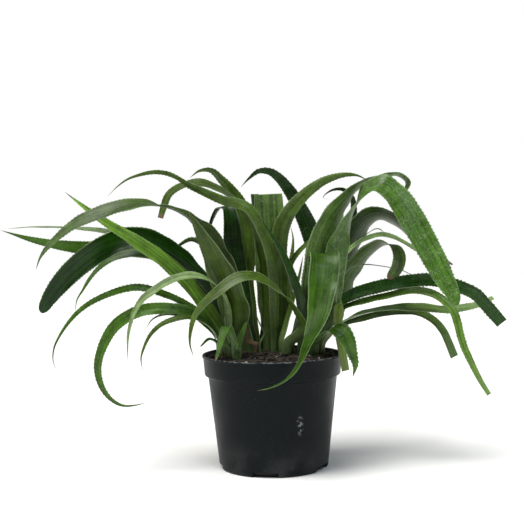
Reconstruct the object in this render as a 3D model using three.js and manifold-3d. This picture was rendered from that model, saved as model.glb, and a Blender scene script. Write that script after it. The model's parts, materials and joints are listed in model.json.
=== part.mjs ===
// A potted bromeliad in a plastic nursery pot, in millimetres, +Z up.
// The pot stands on z = 0 with its axis on Z. The plant is a clump: nine crowns of strap leaves that
// share one rootstock in the potting mix. Each leaf is a blade swept along a curve that starts in its crown.
import * as THREE from "three";
import { mergeVertices } from "three/addons/utils/BufferGeometryUtils.js";
import Module from "manifold-3d";

const wasm = await Module();
wasm.setup();

// ---- driving dimensions ----

// the nursery pot
const POT_HEIGHT = 136;
const RIM_RADIUS = 85;
const BASE_RADIUS = 66;
const WALL = 1.6;
const FLOOR = 2;
const RIM_BAND = 24; // height of the thicker band round the mouth
const RIM_STEP = 4.2; // how far the body steps in under the band
const LIP_HEIGHT = 3;
const LIP_OVERHANG = 1.2;
const LIP_BEVEL = 0.6;
const BAND_TAPER = 1.6; // how much narrower the band is at its foot
const FOOT_ROUND = 3; // rounding between the floor and the wall
const POT_SEGMENTS = 80;

// drain recesses moulded into the foot of the wall
const DRAINS = 5;
const DRAIN_WIDTH = 30;
const DRAIN_HEIGHT = 6;
const DRAIN_DEPTH = 15; // radially inwards from the wall
const DRAIN_HOLE = 8; // diameter of the hole in the roof of each recess
const FIRST_DRAIN = -99; // direction of the first recess, in degrees from +X

// the potting mix
const HEADROOM = 4.5; // from the edge of the mix up to the rim
const MOUND = 5; // how much higher the mix is in the middle
const CLEARANCE = 0.3; // between pieces that touch in the real plant

// the clump
const CORE_RADIUS = 7; // from the middle of a crown to its innermost leaf
const LEAF_PITCH = 3.3; // from one leaf to the next one outside it
const LEAF_THICKNESS = 1.6;
const STATION = 15; // spacing of the cross-sections along a leaf
const LEAF_GAP = 0.5; // from the potting mix up to the foot of a leaf
const SHOULDER_HEIGHT = 12; // a leaf stands nearly upright for this far
const SHOULDER_LEAN = 1;
const OPENS_FROM = 8; // distances along a leaf between which it opens out from the crown's round outline
const OPENS_TO = 60;
const MOST_WRAP = 1.2; // how far half a blade reaches round its crown, in radians
const TROUGH = 0.16; // how deep the V across a blade is, as a share of half its width
const TIP_THINNESS = 0.35; // share of the thickness that is left where a blade runs out to nothing
const FULL_THICKNESS_WIDTH = 10.4; // width from which a blade has its full thickness
const ROOT_DEPTH = 26;
const RHIZOME_RADIUS = 6;
const PEG_RISE = 3; // how far a crown's stem stands out of the mix
const PEG_GAP = 1; // from a stem to its innermost leaf
const PEG_FOOT = 2; // how far a stem reaches below the rhizomes
const PLANNED_RIM = 85; // the rim radius that the places of crowns and leaves below are given for

// ---- values that follow ----

const degrees = Math.PI / 180;
const bandFoot = POT_HEIGHT - RIM_BAND;
const bodyTop = bandFoot - WALL; // the wall steps out to the band between these two heights
const bandRadius = RIM_RADIUS - LIP_OVERHANG;
const bandFootRadius = bandRadius - BAND_TAPER;
const bodyTopRadius = bandFootRadius - RIM_STEP;
const mixEdge = POT_HEIGHT - HEADROOM;
const mixRadius = insideRadius(mixEdge) - CLEARANCE;
const spread = RIM_RADIUS / PLANNED_RIM; // the clump fills the pot, so it widens with it

// Radius of the wall's outer face at a height, on the plain body.
function bodyRadius(z) {
  return THREE.MathUtils.mapLinear(z, FOOT_ROUND, bodyTop, BASE_RADIUS, bodyTopRadius);
}

// Radius of the wall's inner face at a height.
function insideRadius(z) {
  if (z <= bodyTop + WALL) return bodyRadius(Math.min(z, bodyTop)) - WALL;
  return THREE.MathUtils.mapLinear(z, bandFoot, POT_HEIGHT, bandFootRadius, bandRadius) - WALL;
}

// Height of the potting mix at a distance from the pot's axis.
function mixHeight(radius) {
  return mixEdge + MOUND * (1 - Math.min(1, radius / mixRadius) ** 2);
}

// ---- solids ----

// A three.js geometry as a manifold solid, moved by an optional matrix.
function solid(geometry, matrix = new THREE.Matrix4()) {
  const bare = new THREE.BufferGeometry().setAttribute("position", geometry.getAttribute("position").clone());
  if (geometry.index) bare.setIndex(geometry.index);
  const welded = mergeVertices(bare.applyMatrix4(matrix), 1e-3);
  const corners = [];
  for (let i = 0; i < welded.index.count; i += 3) {
    const [a, b, c] = welded.index.array.slice(i, i + 3);
    if (a !== b && b !== c && c !== a) corners.push(a, b, c);
  }
  return new wasm.Manifold(
    new wasm.Mesh({
      numProp: 3,
      vertProperties: new Float32Array(welded.attributes.position.array),
      triVerts: new Uint32Array(corners),
    }),
  );
}

// A manifold solid as a three.js geometry.
function geometryOf(made) {
  const mesh = made.getMesh();
  const geometry = new THREE.BufferGeometry();
  geometry.setAttribute("position", new THREE.BufferAttribute(mesh.vertProperties, 3));
  geometry.setIndex(new THREE.BufferAttribute(mesh.triVerts, 1));
  const faceted = geometry.toNonIndexed();
  faceted.computeVertexNormals();
  return faceted;
}

// A profile of [radius, height] points turned round Z, listed from the bottom of the axis to the top.
function turned(profile, segments = POT_SEGMENTS) {
  const points = profile.map(([radius, height]) => new THREE.Vector2(radius, height));
  const upright = new THREE.Matrix4().makeRotationX(Math.PI / 2);
  return solid(new THREE.LatheGeometry(points, segments), upright);
}

// A place and a turn about Z as a matrix.
function placed(x, y, z, turn = 0) {
  return new THREE.Matrix4().makeTranslation(x, y, z).multiply(new THREE.Matrix4().makeRotationZ(turn));
}

const plant = new THREE.Group();

function add(name, geometry, color, roughness) {
  const material = new THREE.MeshStandardMaterial({ color, roughness, metalness: 0, side: THREE.DoubleSide });
  const mesh = new THREE.Mesh(geometry, material);
  mesh.name = name;
  plant.add(mesh);
}

// ---- pot ----

const drainTurns = Array.from({ length: DRAINS }, (_, i) => (FIRST_DRAIN + (360 / DRAINS) * i) * degrees);

// The raised pads that roof the recesses inside the pot, grown by a margin on every side.
function drainPads(margin) {
  const inner = BASE_RADIUS - DRAIN_DEPTH - WALL - margin;
  const length = RIM_RADIUS - inner;
  const height = DRAIN_HEIGHT + WALL + margin;
  const pad = new THREE.BoxGeometry(length, DRAIN_WIDTH + 2 * (WALL + margin), height);
  return drainTurns.map((turn) => {
    const out = placed(0, 0, 0, turn).multiply(placed(inner + length / 2, 0, height / 2));
    return solid(pad, out);
  });
}

// The recesses themselves, open to the outside and to the surface that the pot stands on.
function drainRecesses() {
  const inner = BASE_RADIUS - DRAIN_DEPTH;
  const length = RIM_RADIUS - inner;
  const below = 5;
  const recess = new THREE.BoxGeometry(length, DRAIN_WIDTH, DRAIN_HEIGHT + below);
  return drainTurns.map((turn) => {
    const out = placed(0, 0, 0, turn).multiply(placed(inner + length / 2, 0, (DRAIN_HEIGHT - below) / 2));
    return solid(recess, out);
  });
}

// The round holes through the roofs of the recesses.
function drainHoles() {
  const upright = new THREE.Matrix4().makeRotationX(Math.PI / 2);
  const hole = new THREE.CylinderGeometry(DRAIN_HOLE / 2, DRAIN_HOLE / 2, 4 * DRAIN_HEIGHT, 20);
  const middle = BASE_RADIUS - DRAIN_DEPTH / 2 - WALL;
  return drainTurns.map((turn) =>
    solid(hole, placed(0, 0, DRAIN_HEIGHT, turn).multiply(placed(middle, 0, 0)).multiply(upright)),
  );
}

function pot() {
  const outside = turned([
    [0, 0],
    [BASE_RADIUS - FOOT_ROUND, 0],
    [BASE_RADIUS - 0.3 * FOOT_ROUND, 0.3 * FOOT_ROUND],
    [BASE_RADIUS, FOOT_ROUND],
    [bodyTopRadius, bodyTop],
    [bandFootRadius, bandFoot],
    [bandRadius, POT_HEIGHT - LIP_HEIGHT],
    [RIM_RADIUS, POT_HEIGHT - LIP_HEIGHT + LIP_BEVEL],
    [RIM_RADIUS, POT_HEIGHT - LIP_BEVEL],
    [RIM_RADIUS - LIP_BEVEL, POT_HEIGHT],
    [0, POT_HEIGHT],
  ]);
  const inside = turned([
    [0, FLOOR],
    [insideRadius(FLOOR) - FOOT_ROUND, FLOOR],
    [insideRadius(FLOOR + FOOT_ROUND), FLOOR + FOOT_ROUND],
    [insideRadius(bodyTop + WALL), bodyTop + WALL],
    [insideRadius(bandFoot + WALL), bandFoot + WALL],
    [insideRadius(POT_HEIGHT), POT_HEIGHT + WALL],
    [0, POT_HEIGHT + WALL],
  ]);
  const room = wasm.Manifold.difference([inside, ...drainPads(0)]);
  return wasm.Manifold.difference([outside, room, ...drainRecesses(), ...drainHoles()]);
}

// ---- the clump's crowns ----

const crowns = {
  leftFront: { x: -46, y: -4, core: CORE_RADIUS },
  leftRear: { x: -44, y: 28, core: CORE_RADIUS },
  leftMiddle: { x: -24, y: 9, core: CORE_RADIUS },
  centre: { x: -1, y: 19, core: CORE_RADIUS },
  rightInner: { x: 19, y: -7, core: CORE_RADIUS },
  right: { x: 42, y: 4, core: CORE_RADIUS },
  rightRear: { x: 43, y: 36, core: CORE_RADIUS },
  pupFront: { x: -42, y: -35, core: CORE_RADIUS / 2 },
  pupCentre: { x: -12, y: -12, core: CORE_RADIUS / 2 },
};

// Each crown's stem is a short peg, and a rhizome joins it to an older crown.
const rhizomes = [
  ["centre", "leftMiddle"],
  ["leftMiddle", "leftFront"],
  ["leftFront", "leftRear"],
  ["centre", "rightInner"],
  ["rightInner", "right"],
  ["right", "rightRear"],
  ["leftFront", "pupFront"],
  ["centre", "pupCentre"],
];

function rootstock(margin) {
  const depth = mixEdge - ROOT_DEPTH;
  const pegs = Object.values(crowns).map(({ x, y, core }) => {
    const top = mixHeight(Math.hypot(x, y) * spread) + PEG_RISE + 2 * margin;
    const radius = core - LEAF_THICKNESS - PEG_GAP + margin;
    const foot = Math.max(radius, RHIZOME_RADIUS + margin);
    const low = depth - RHIZOME_RADIUS - PEG_FOOT - margin;
    const profile = [
      [0, low],
      [0.6 * foot, low],
      [foot, depth],
      [radius, top - 4],
      [0.5 * radius, top],
      [0, top],
    ];
    return turned(profile, 20).translate([x * spread, y * spread, 0]);
  });
  const runners = rhizomes.map(([from, to]) => {
    const a = crowns[from];
    const b = crowns[to];
    const run = new THREE.Vector3((b.x - a.x) * spread, (b.y - a.y) * spread, 0);
    const radius = RHIZOME_RADIUS - 1 + margin;
    const rod = new THREE.CylinderGeometry(radius, radius, run.length(), 12);
    const up = new THREE.Vector3(0, 1, 0);
    const along = new THREE.Quaternion().setFromUnitVectors(up, run.clone().normalize());
    const middle = new THREE.Vector3(a.x * spread, a.y * spread, depth).addScaledVector(run, 0.5);
    return solid(rod, new THREE.Matrix4().compose(middle, along, new THREE.Vector3(1, 1, 1)));
  });
  return wasm.Manifold.union([...pegs, ...runners]);
}

// ---- potting mix ----

function pottingMix() {
  const low = FLOOR + CLEARANCE;
  const profile = [
    [0, low],
    [insideRadius(low) - FOOT_ROUND - CLEARANCE, low],
    [insideRadius(low + FOOT_ROUND) - CLEARANCE, low + FOOT_ROUND],
    [insideRadius(bodyTop + WALL) - CLEARANCE, bodyTop + WALL],
    [insideRadius(bandFoot + WALL) - CLEARANCE, bandFoot + WALL + CLEARANCE],
    [mixRadius, mixEdge],
  ];
  for (const share of [0.8, 0.6, 0.4, 0.2, 0]) {
    const radius = share * mixRadius;
    profile.push([radius, mixHeight(radius)]);
  }
  return wasm.Manifold.difference([turned(profile), ...drainPads(CLEARANCE), rootstock(CLEARANCE)]);
}

// ---- leaves ----

// Half of a blade's width, as a share of its greatest, at a share of its length. The blade narrows a little
// towards its base, where it wraps its crown, and ends in a point, a round tip or a cut.
function widthShare(along, tip, end) {
  const base = 0.8 + 0.2 * THREE.MathUtils.smoothstep(along, 0, 0.3);
  const taper = Math.max(0, (along - 0.5) / 0.5);
  if (tip === "pointed") return base * (1 - taper ** 1.25);
  if (tip === "blunt") return base * Math.sqrt(1 - taper ** 4);
  return base * (1 - (1 - end) * taper ** 1.5);
}

// A blade: cross-sections shaped like a shallow V stand along a curve that leaves the crown nearly upright.
// nest counts the leaves from the crown's middle out to this one. facing is the direction, in degrees
// from +X, that the back of the blade faces at its base. turn lists how far the blade has turned on its
// own axis by even steps along its length. points are x, y and the height over the edge of the mix.
function blade(name, crownName, { nest, facing, width, tip, end = 0, turn, color, roughness = 0.5 }, points) {
  const crown = crowns[crownName];
  const reach = crown.core + nest * LEAF_PITCH * (crown.core / CORE_RADIUS);
  const out = new THREE.Vector3(Math.cos(facing * degrees), Math.sin(facing * degrees), 0);
  const foot = new THREE.Vector3(crown.x * spread, crown.y * spread, 0).addScaledVector(out, reach);
  foot.z = mixHeight(foot.length()) + LEAF_GAP;
  const shoulder = foot.clone().addScaledVector(out, SHOULDER_LEAN);
  shoulder.z += SHOULDER_HEIGHT;
  const path = points.map(([x, y, z]) => new THREE.Vector3(x * spread, y * spread, z + mixEdge));
  const curve = new THREE.CatmullRomCurve3([foot, shoulder, ...path], false, "centripetal");
  curve.arcLengthDivisions = 400;
  const length = curve.getLength();
  const stations = Math.max(4, Math.round(length / STATION));
  const closes = tip === "pointed" || tip === "blunt";

  const positions = [];
  let across = new THREE.Vector3(-out.y, out.x, 0);
  for (let i = 0; i <= stations; i++) {
    const along = i / stations;
    const centre = curve.getPointAt(along);
    const growing = curve.getTangentAt(along);
    across = across.addScaledVector(growing, -across.dot(growing)).normalize();
    if (closes && i === stations) {
      positions.push(centre);
      break;
    }
    const step = along * (turn.length - 1);
    const from = Math.min(Math.floor(step), turn.length - 2);
    const angle = THREE.MathUtils.lerp(turn[from], turn[from + 1], step - from) * degrees;
    const side = across.clone().applyAxisAngle(growing, angle);
    const upper = new THREE.Vector3().crossVectors(growing, side);
    const half = 0.5 * width * widthShare(along, tip, end);
    // at the base the blade lies on the crown's round outline, and further on it opens out
    const wrap = 1 - THREE.MathUtils.smoothstep(along * length, OPENS_FROM, OPENS_TO);
    const wrapped = Math.min(half / reach, MOST_WRAP);
    const chord = THREE.MathUtils.lerp(half, reach * Math.sin(wrapped), wrap);
    const lift = THREE.MathUtils.lerp(TROUGH * half, reach * (1 - Math.cos(wrapped)), wrap);
    const fullness = Math.min(1, (2 * half) / FULL_THICKNESS_WIDTH);
    const thick = 0.5 * LEAF_THICKNESS * THREE.MathUtils.lerp(TIP_THINNESS, 1, fullness);
    positions.push(centre.clone().addScaledVector(side, -chord).addScaledVector(upper, lift));
    positions.push(centre.clone().addScaledVector(upper, thick));
    positions.push(centre.clone().addScaledVector(side, chord).addScaledVector(upper, lift));
    positions.push(centre.clone().addScaledVector(upper, -thick));
  }

  const faces = [0, 1, 3, 1, 2, 3];
  for (let i = 0; i < stations; i++) {
    const ring = 4 * i;
    const toPoint = closes && i === stations - 1;
    for (let k = 0; k < 4; k++) {
      const next = (k + 1) % 4;
      // both faces are split along the same diagonals, so that they stay parallel where the blade twists
      const [a, b, c, d] = [ring + k, ring + next, ring + next + 4, ring + k + 4];
      if (toPoint) faces.push(a, ring + 4, b);
      else if (k < 2) faces.push(a, d, c, a, c, b);
      else faces.push(a, d, b, d, c, b);
    }
  }
  if (!closes) {
    const last = 4 * stations;
    faces.push(last, last + 3, last + 1, last + 1, last + 3, last + 2);
  }
  const geometry = new THREE.BufferGeometry().setFromPoints(positions);
  geometry.setIndex(faces);
  const faceted = geometry.toNonIndexed();
  faceted.computeVertexNormals();
  add(name, faceted, color, roughness);
}

// ---- the plant's colours ----

const deep = "#3a5a24";
const dark = "#263a1e";
const olive = "#6b7a3f";
const bright = "#5f8c2c";
const silver = "#76866a";
const pale = "#a3ab82";
const yellow = "#9aa63a";
const dry = "#77603f";

// ---- the assembly ----

add("pot", geometryOf(pot()), "#17191b", 0.45);
add("potting_mix", geometryOf(pottingMix()), "#2e231b", 0.95);
add("rootstock", geometryOf(rootstock(0)), "#6e5a3c", 0.8);

// leftFront
blade("left_upright_pointed", "leftFront", {
  nest: 0, facing: 250, width: 40, tip: "pointed", turn: [0, 0, 0], color: olive,
}, [
  [-45, -24, 57], [-54, -40, 89], [-67, -54, 123], [-80, -62, 151], [-93, -66, 176],
]);
blade("left_long_straight", "leftFront", {
  nest: 1, facing: 140, width: 22, tip: "pointed", turn: [0, 0, -10], color: bright,
}, [
  [-62, 3, 33], [-80, -10, 63], [-102, -21, 95], [-131, -29, 123], [-164, -38, 147], [-198, -42, 170],
  [-221, -43, 188], [-238, -44, 202],
]);
blade("left_pale_drooping", "leftFront", {
  nest: 2, facing: 232, width: 14, tip: "pointed", turn: [0, -20, -50, -50], color: pale,
}, [
  [-52, -28, 58], [-57, -44, 81], [-71, -56, 97], [-92, -62, 103], [-113, -66, 99], [-130, -69, 89],
  [-145, -71, 79], [-156, -73, 62], [-163, -75, 37], [-164, -76, 8],
]);
blade("left_low_arch", "leftFront", {
  nest: 3, facing: 165, width: 8, tip: "pointed", turn: [0, -20, -45, -45], color: deep,
}, [
  [-68, -11, 34], [-80, -25, 52], [-96, -36, 66], [-124, -45, 81], [-154, -51, 90], [-188, -57, 83],
  [-218, -61, 67], [-238, -64, 45], [-250, -66, 22], [-251, -67, 9], [-246, -67, -6],
]);
blade("left_curled_arch", "leftFront", {
  nest: 4, facing: 192, width: 14, tip: "pointed", turn: [0, -20, -50, -60, -60], color: deep,
}, [
  [-69, -20, 29], [-79, -39, 46], [-94, -51, 60], [-123, -53, 65], [-154, -53, 62], [-180, -54, 47],
  [-196, -55, 22], [-202, -55, -1], [-199, -54, -22], [-188, -53, -39], [-171, -51, -48],
  [-146, -48, -44],
]);
blade("left_thin_front_arch", "leftFront", {
  nest: 4, facing: 222, width: 9, tip: "pointed", turn: [0, -30, -50], color: olive,
}, [
  [-65, -32, 28], [-75, -49, 45], [-93, -60, 55], [-113, -64, 53], [-134, -66, 42], [-145, -67, 25],
  [-150, -67, 10], [-148, -67, -6],
]);
// leftRear
blade("left_blunt_dark", "leftRear", {
  nest: 1, facing: 160, width: 28, tip: "blunt", turn: [0, 0, 0, -10, -25, -55, -65, -65], color: dark,
}, [
  [-63, 24, 54], [-74, 16, 79], [-96, 7, 109], [-124, -2, 133], [-151, -8, 146], [-180, -14, 144],
  [-209, -18, 130], [-239, -20, 107], [-263, -22, 79], [-274, -23, 60],
]);
blade("left_far_reaching", "leftRear", {
  nest: 2, facing: 150, width: 24, tip: "pointed", turn: [0, 0, 0, -20, -60, -60], color: deep,
}, [
  [-62, 30, 41], [-82, 26, 81], [-112, 20, 113], [-148, 14, 129], [-190, 10, 133], [-238, 8, 137],
  [-286, 6, 146], [-328, 5, 159],
]);
blade("left_far_pale", "leftRear", {
  nest: 2, facing: 74, width: 17, tip: "pointed", turn: [0, 0, 0, -40, -60, -60], color: pale,
}, [
  [-61, 41, 50], [-84, 42, 86], [-114, 46, 121], [-152, 51, 142], [-197, 54, 155], [-248, 58, 161],
  [-299, 60, 163], [-334, 60, 161],
]);
blade("left_inner_droop", "leftRear", {
  nest: 3, facing: 185, width: 13, tip: "pointed", turn: [0, 0, -20, -45, -45], color: deep,
}, [
  [-65, 16, 33], [-87, 4, 73], [-119, -3, 108], [-151, -5, 126], [-179, -6, 126], [-201, -8, 116],
  [-216, -9, 101], [-227, -10, 84], [-235, -10, 70], [-236, -10, 58],
]);
blade("left_short_thin_arch", "leftRear", {
  nest: 4, facing: 160, width: 7, tip: "pointed", turn: [0, 0, 0], color: dark,
}, [
  [-66, 28, 27], [-78, 22, 40], [-93, 15, 49], [-114, 8, 53], [-133, 2, 53], [-147, -2, 46],
  [-153, -4, 36],
]);
blade("left_back_bowed", "leftRear", {
  nest: 3, facing: 52, width: 13, tip: "pointed", turn: [0, 0, 0], color: olive,
}, [
  [-46, 48, 51], [-59, 47, 92], [-80, 52, 134], [-102, 55, 144], [-120, 57, 132], [-132, 57, 115],
]);
// leftMiddle
blade("left_silver_arch", "leftMiddle", {
  nest: 1, facing: 215, width: 34, tip: "pointed", turn: [0, 0, 0, 0, -10, -50, -58, -55], color: silver,
}, [
  [-41, 0, 55], [-47, 0, 89], [-60, -6, 125], [-76, -18, 153], [-94, -32, 169], [-114, -44, 180],
  [-138, -52, 185], [-166, -58, 184], [-194, -63, 176], [-217, -66, 167], [-239, -69, 152],
  [-256, -71, 135], [-264, -72, 122], [-267, -72, 113],
]);
blade("left_folded_upright", "leftMiddle", {
  nest: 0, facing: 100, width: 26, tip: "pointed", turn: [0, 0, 0], color: dark,
}, [
  [-33, 18, 44], [-40, 20, 87], [-46, 22, 136], [-48, 24, 168], [-52, 30, 182], [-61, 38, 184],
  [-70, 44, 173], [-76, 47, 158], [-80, 49, 140],
]);
blade("left_top_pale_tip", "leftMiddle", {
  nest: 1, facing: 80, width: 24, tip: "pointed", turn: [0, 0, 0, 40], color: olive,
}, [
  [-29, 22, 56], [-33, 26, 99], [-27, 30, 130], [-26, 34, 157], [-37, 34, 187], [-55, 34, 212],
  [-75, 34, 230], [-88, 33, 228], [-99, 33, 220],
]);
blade("back_left_arch", "leftMiddle", {
  nest: 3, facing: 90, width: 17, tip: "pointed", turn: [0, 0, 0], color: deep,
}, [
  [-32, 61, 65], [-37, 85, 113], [-47, 108, 145], [-54, 135, 159], [-61, 160, 141], [-65, 178, 110],
]);
// leftRear
blade("back_left_short", "leftRear", {
  nest: 3, facing: 110, width: 20, tip: "pointed", turn: [0, 0, 0], color: deep,
}, [
  [-50, 62, 65], [-56, 90, 96], [-61, 120, 112], [-67, 150, 107], [-71, 170, 83],
]);
// leftMiddle
blade("left_dry_stub", "leftMiddle", {
  nest: 3, facing: 285, width: 7, tip: "pointed", turn: [0, 0], color: dry,
}, [
  [-29, -9, 20], [-30, -12, 30], [-26, -15, 41],
]);
// centre
blade("centre_broad_arch", "centre", {
  nest: 1, facing: 222, width: 28, tip: "cut", end: 0.45, turn: [0, 0, -10, -45, -60, -60], color: olive,
}, [
  [-4, 4, 54], [-7, -2, 100], [-15, -6, 142], [-31, -9, 176], [-55, -10, 199], [-81, -11, 210],
  [-103, -12, 208], [-118, -13, 199], [-125, -14, 185], [-130, -15, 170],
]);
blade("centre_top_thin_arch", "centre", {
  nest: 3, facing: 285, width: 12, tip: "pointed", turn: [0, 0, 0, -60, 0], color: olive,
}, [
  [3, -8, 55], [3, -16, 88], [1, -20, 116], [-4, -22, 139], [-13, -24, 160], [-22, -26, 177],
  [-35, -26, 185], [-56, -26, 190], [-76, -26, 199], [-94, -26, 207], [-109, -26, 217],
  [-129, -26, 224], [-150, -26, 222], [-172, -26, 214], [-191, -26, 197],
]);
blade("centre_cut_left", "centre", {
  nest: 2, facing: 145, width: 20, tip: "cut", end: 0.85, turn: [0, 0, 0], color: deep,
}, [
  [-7, 34, 61], [-13, 40, 129], [-20, 42, 199],
]);
blade("centre_cut_middle", "centre", {
  nest: 0, facing: 90, width: 40, tip: "cut", end: 0.85, turn: [0, 0, 0], color: silver,
}, [
  [3, 24, 61], [0, 22, 129], [-2, 22, 198],
]);
blade("centre_cut_right", "centre", {
  nest: 1, facing: 55, width: 22, tip: "cut", end: 0.85, turn: [0, 0, 0], color: deep,
}, [
  [12, 34, 60], [12, 38, 129], [9, 42, 195],
]);
blade("centre_cut_short", "centre", {
  nest: 0, facing: 275, width: 18, tip: "cut", end: 0.8, turn: [0, 0, 0], color: silver,
}, [
  [4, 10, 50], [2, 10, 99], [-1, 9, 143],
]);
blade("centre_right_reaching", "centre", {
  nest: 2, facing: 312, width: 20, tip: "pointed", turn: [0, -20, -50, -60, -40], color: olive,
}, [
  [11, 8, 56], [11, 4, 99], [10, 0, 134], [15, -2, 161], [29, -3, 183], [48, -4, 201], [70, -6, 214],
  [86, -13, 217], [100, -17, 219], [111, -20, 212], [118, -21, 209],
]);
blade("centre_back_olive", "centre", {
  nest: 2, facing: 40, width: 14, tip: "pointed", turn: [0, 0, 0], color: olive,
}, [
  [16, 40, 60], [20, 40, 101], [33, 38, 123], [51, 37, 141], [69, 36, 155],
]);
blade("centre_yellowing", "centre", {
  nest: 3, facing: 48, width: 11, tip: "pointed", turn: [0, 0, 0], color: yellow,
}, [
  [21, 56, 58], [26, 58, 113], [29, 58, 141], [26, 58, 158],
]);
blade("back_centre_arch", "centre", {
  nest: 3, facing: 100, width: 24, tip: "pointed", turn: [0, 0, 0], color: deep,
}, [
  [-4, 52, 72], [-5, 78, 135], [-4, 108, 175], [-3, 140, 181], [0, 168, 161], [2, 184, 126],
]);
// right
blade("right_broad_rising", "right", {
  nest: 1, facing: 290, width: 33, tip: "cut", end: 0.45, turn: [0, 0, 0, 5, 45, 72, 78], color: silver,
}, [
  [51, -2, 54], [53, -6, 90], [59, -10, 127], [68, -13, 153], [80, -14, 175], [92, -13, 189],
  [103, -10, 200], [113, -6, 206], [124, -2, 211], [136, 2, 214], [147, 6, 217], [158, 9, 217],
  [166, 11, 211], [168, 12, 203], [162, 12, 196],
]);
blade("right_great_arch", "right", {
  nest: 2, facing: 328, width: 31, tip: "blunt", turn: [0, -35, -30, 35, 75, 85, 85], color: deep,
}, [
  [68, -4, 54], [74, -10, 84], [78, -15, 114], [84, -20, 141], [91, -24, 159], [99, -27, 176],
  [108, -30, 191], [118, -32, 201], [128, -34, 205], [140, -36, 198], [152, -38, 184], [163, -41, 166],
  [172, -44, 149], [182, -47, 130], [192, -50, 110], [201, -53, 91], [210, -55, 74], [214, -56, 64],
]);
blade("front_folded", "right", {
  nest: 3, facing: 270, width: 34, tip: "pointed", turn: [0, 0, 0, 5, 45, 80, 85], color: deep,
}, [
  [59, -20, 46], [60, -32, 82], [60, -46, 113], [61, -55, 125], [62, -63, 122], [60, -71, 105],
  [57, -80, 79], [51, -89, 52], [43, -95, 33], [36, -99, 18], [29, -101, 2], [17, -102, -11],
  [0, -102, -20], [-18, -101, -24],
]);
// rightInner
blade("front_dark_spear", "rightInner", {
  nest: 1, facing: 290, width: 11, tip: "pointed", turn: [0, 0, 0], color: dark,
}, [
  [35, -24, 49], [34, -28, 73], [27, -31, 95], [19, -32, 116], [9, -32, 136], [-2, -31, 153],
  [-12, -30, 170],
]);
blade("front_low_arch", "rightInner", {
  nest: 2, facing: 265, width: 16, tip: "pointed", turn: [0, 0, -40, -60, -60, -50], color: olive,
}, [
  [37, -26, 35], [30, -38, 55], [18, -48, 74], [4, -56, 87], [-10, -62, 97], [-26, -67, 102],
  [-42, -73, 98], [-58, -79, 87], [-74, -82, 74], [-85, -84, 61], [-91, -85, 43], [-92, -86, 26],
  [-88, -86, 12],
]);
blade("inner_olive_sheath", "rightInner", {
  nest: 1, facing: 195, width: 20, tip: "pointed", turn: [0, 0, 0], color: olive,
}, [
  [16, -6, 45], [24, -5, 69], [32, -3, 93], [39, -1, 122],
]);
blade("inner_green_sheath", "rightInner", {
  nest: 0, facing: 354, width: 16, tip: "cut", end: 0.4, turn: [0, 0, 0], color: deep,
}, [
  [30, -13, 46], [37, -17, 76], [40, -20, 103], [43, -21, 122],
]);
// right
blade("right_dark_cut", "right", {
  nest: 3, facing: 32, width: 15, tip: "cut", end: 0.95, turn: [0, 20, 35, 50, 60], color: dark,
}, [
  [68, 15, 45], [85, 9, 66], [107, 0, 77], [137, -5, 85], [167, -8, 90], [195, -14, 91],
  [220, -22, 84], [239, -26, 76], [255, -28, 59], [271, -30, 40],
]);
blade("right_long_hanging", "right", {
  nest: 4, facing: 14, width: 11, tip: "dry", end: 0.5, turn: [0, 20, 40, 60], color: bright,
}, [
  [69, 12, 37], [86, 10, 56], [110, 4, 65], [141, 0, 72], [167, -4, 78], [188, -10, 76],
  [203, -18, 68], [215, -24, 54], [220, -27, 37], [224, -28, 19], [233, -29, -3], [244, -30, -26],
  [253, -30, -41],
]);
blade("right_level_silver", "right", {
  nest: 4, facing: 332, width: 18, tip: "cut", end: 0.35, turn: [0, 40, 70, 75], color: silver,
}, [
  [70, -2, 29], [91, 5, 43], [117, 7, 52], [150, 8, 56], [181, 7, 56], [211, 7, 53], [239, 8, 56],
  [259, 9, 61], [270, 10, 67],
]);
blade("right_pale_thin_arch", "right", {
  nest: 0, facing: 20, width: 10, tip: "cut", end: 0.4, turn: [0, 0, 0], color: pale,
}, [
  [66, 14, 67], [77, 10, 98], [91, 5, 123], [110, -3, 139], [135, -10, 146], [154, -14, 139],
  [172, -15, 128], [192, -13, 112], [207, -11, 100],
]);
blade("right_low_serrated", "right", {
  nest: 5, facing: 285, width: 22, tip: "pointed", turn: [0, 40, 60], color: deep,
}, [
  [64, -44, 33], [74, -56, 40], [84, -62, 31], [90, -61, 15], [95, -61, -1], [92, -60, -17],
]);
blade("right_low_cut", "right", {
  nest: 5, facing: 322, width: 12, tip: "cut", end: 0.8, turn: [0, 20, 40], color: yellow,
}, [
  [84, -14, 47], [82, -19, 69], [78, -28, 56], [78, -33, 35], [81, -35, 14], [85, -35, -9],
]);
// rightRear
blade("right_back_top_arch", "rightRear", {
  nest: 0, facing: 95, width: 24, tip: "pointed", turn: [0, 0, 0], color: dark,
}, [
  [64, 50, 58], [62, 54, 102], [53, 54, 143], [40, 52, 175], [24, 49, 204], [7, 46, 223],
  [-9, 44, 229], [-24, 42, 220], [-36, 41, 208],
]);
blade("right_back_curled", "rightRear", {
  nest: 2, facing: 85, width: 12, tip: "pointed", turn: [0, 0, 0], color: dark,
}, [
  [77, 64, 63], [89, 62, 114], [104, 59, 162], [105, 56, 191], [94, 54, 203], [79, 53, 203],
  [68, 52, 197], [69, 51, 189], [78, 50, 190],
]);
blade("right_dark_arch", "rightRear", {
  nest: 1, facing: 305, width: 40, tip: "cut", end: 0.3, turn: [0, 0, 10, 30, 45], color: deep,
}, [
  [76, 38, 65], [89, 37, 103], [101, 36, 135], [114, 37, 157], [128, 38, 168], [144, 38, 168],
  [160, 37, 157], [176, 35, 142], [193, 32, 128], [210, 30, 117], [224, 28, 107],
]);
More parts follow.
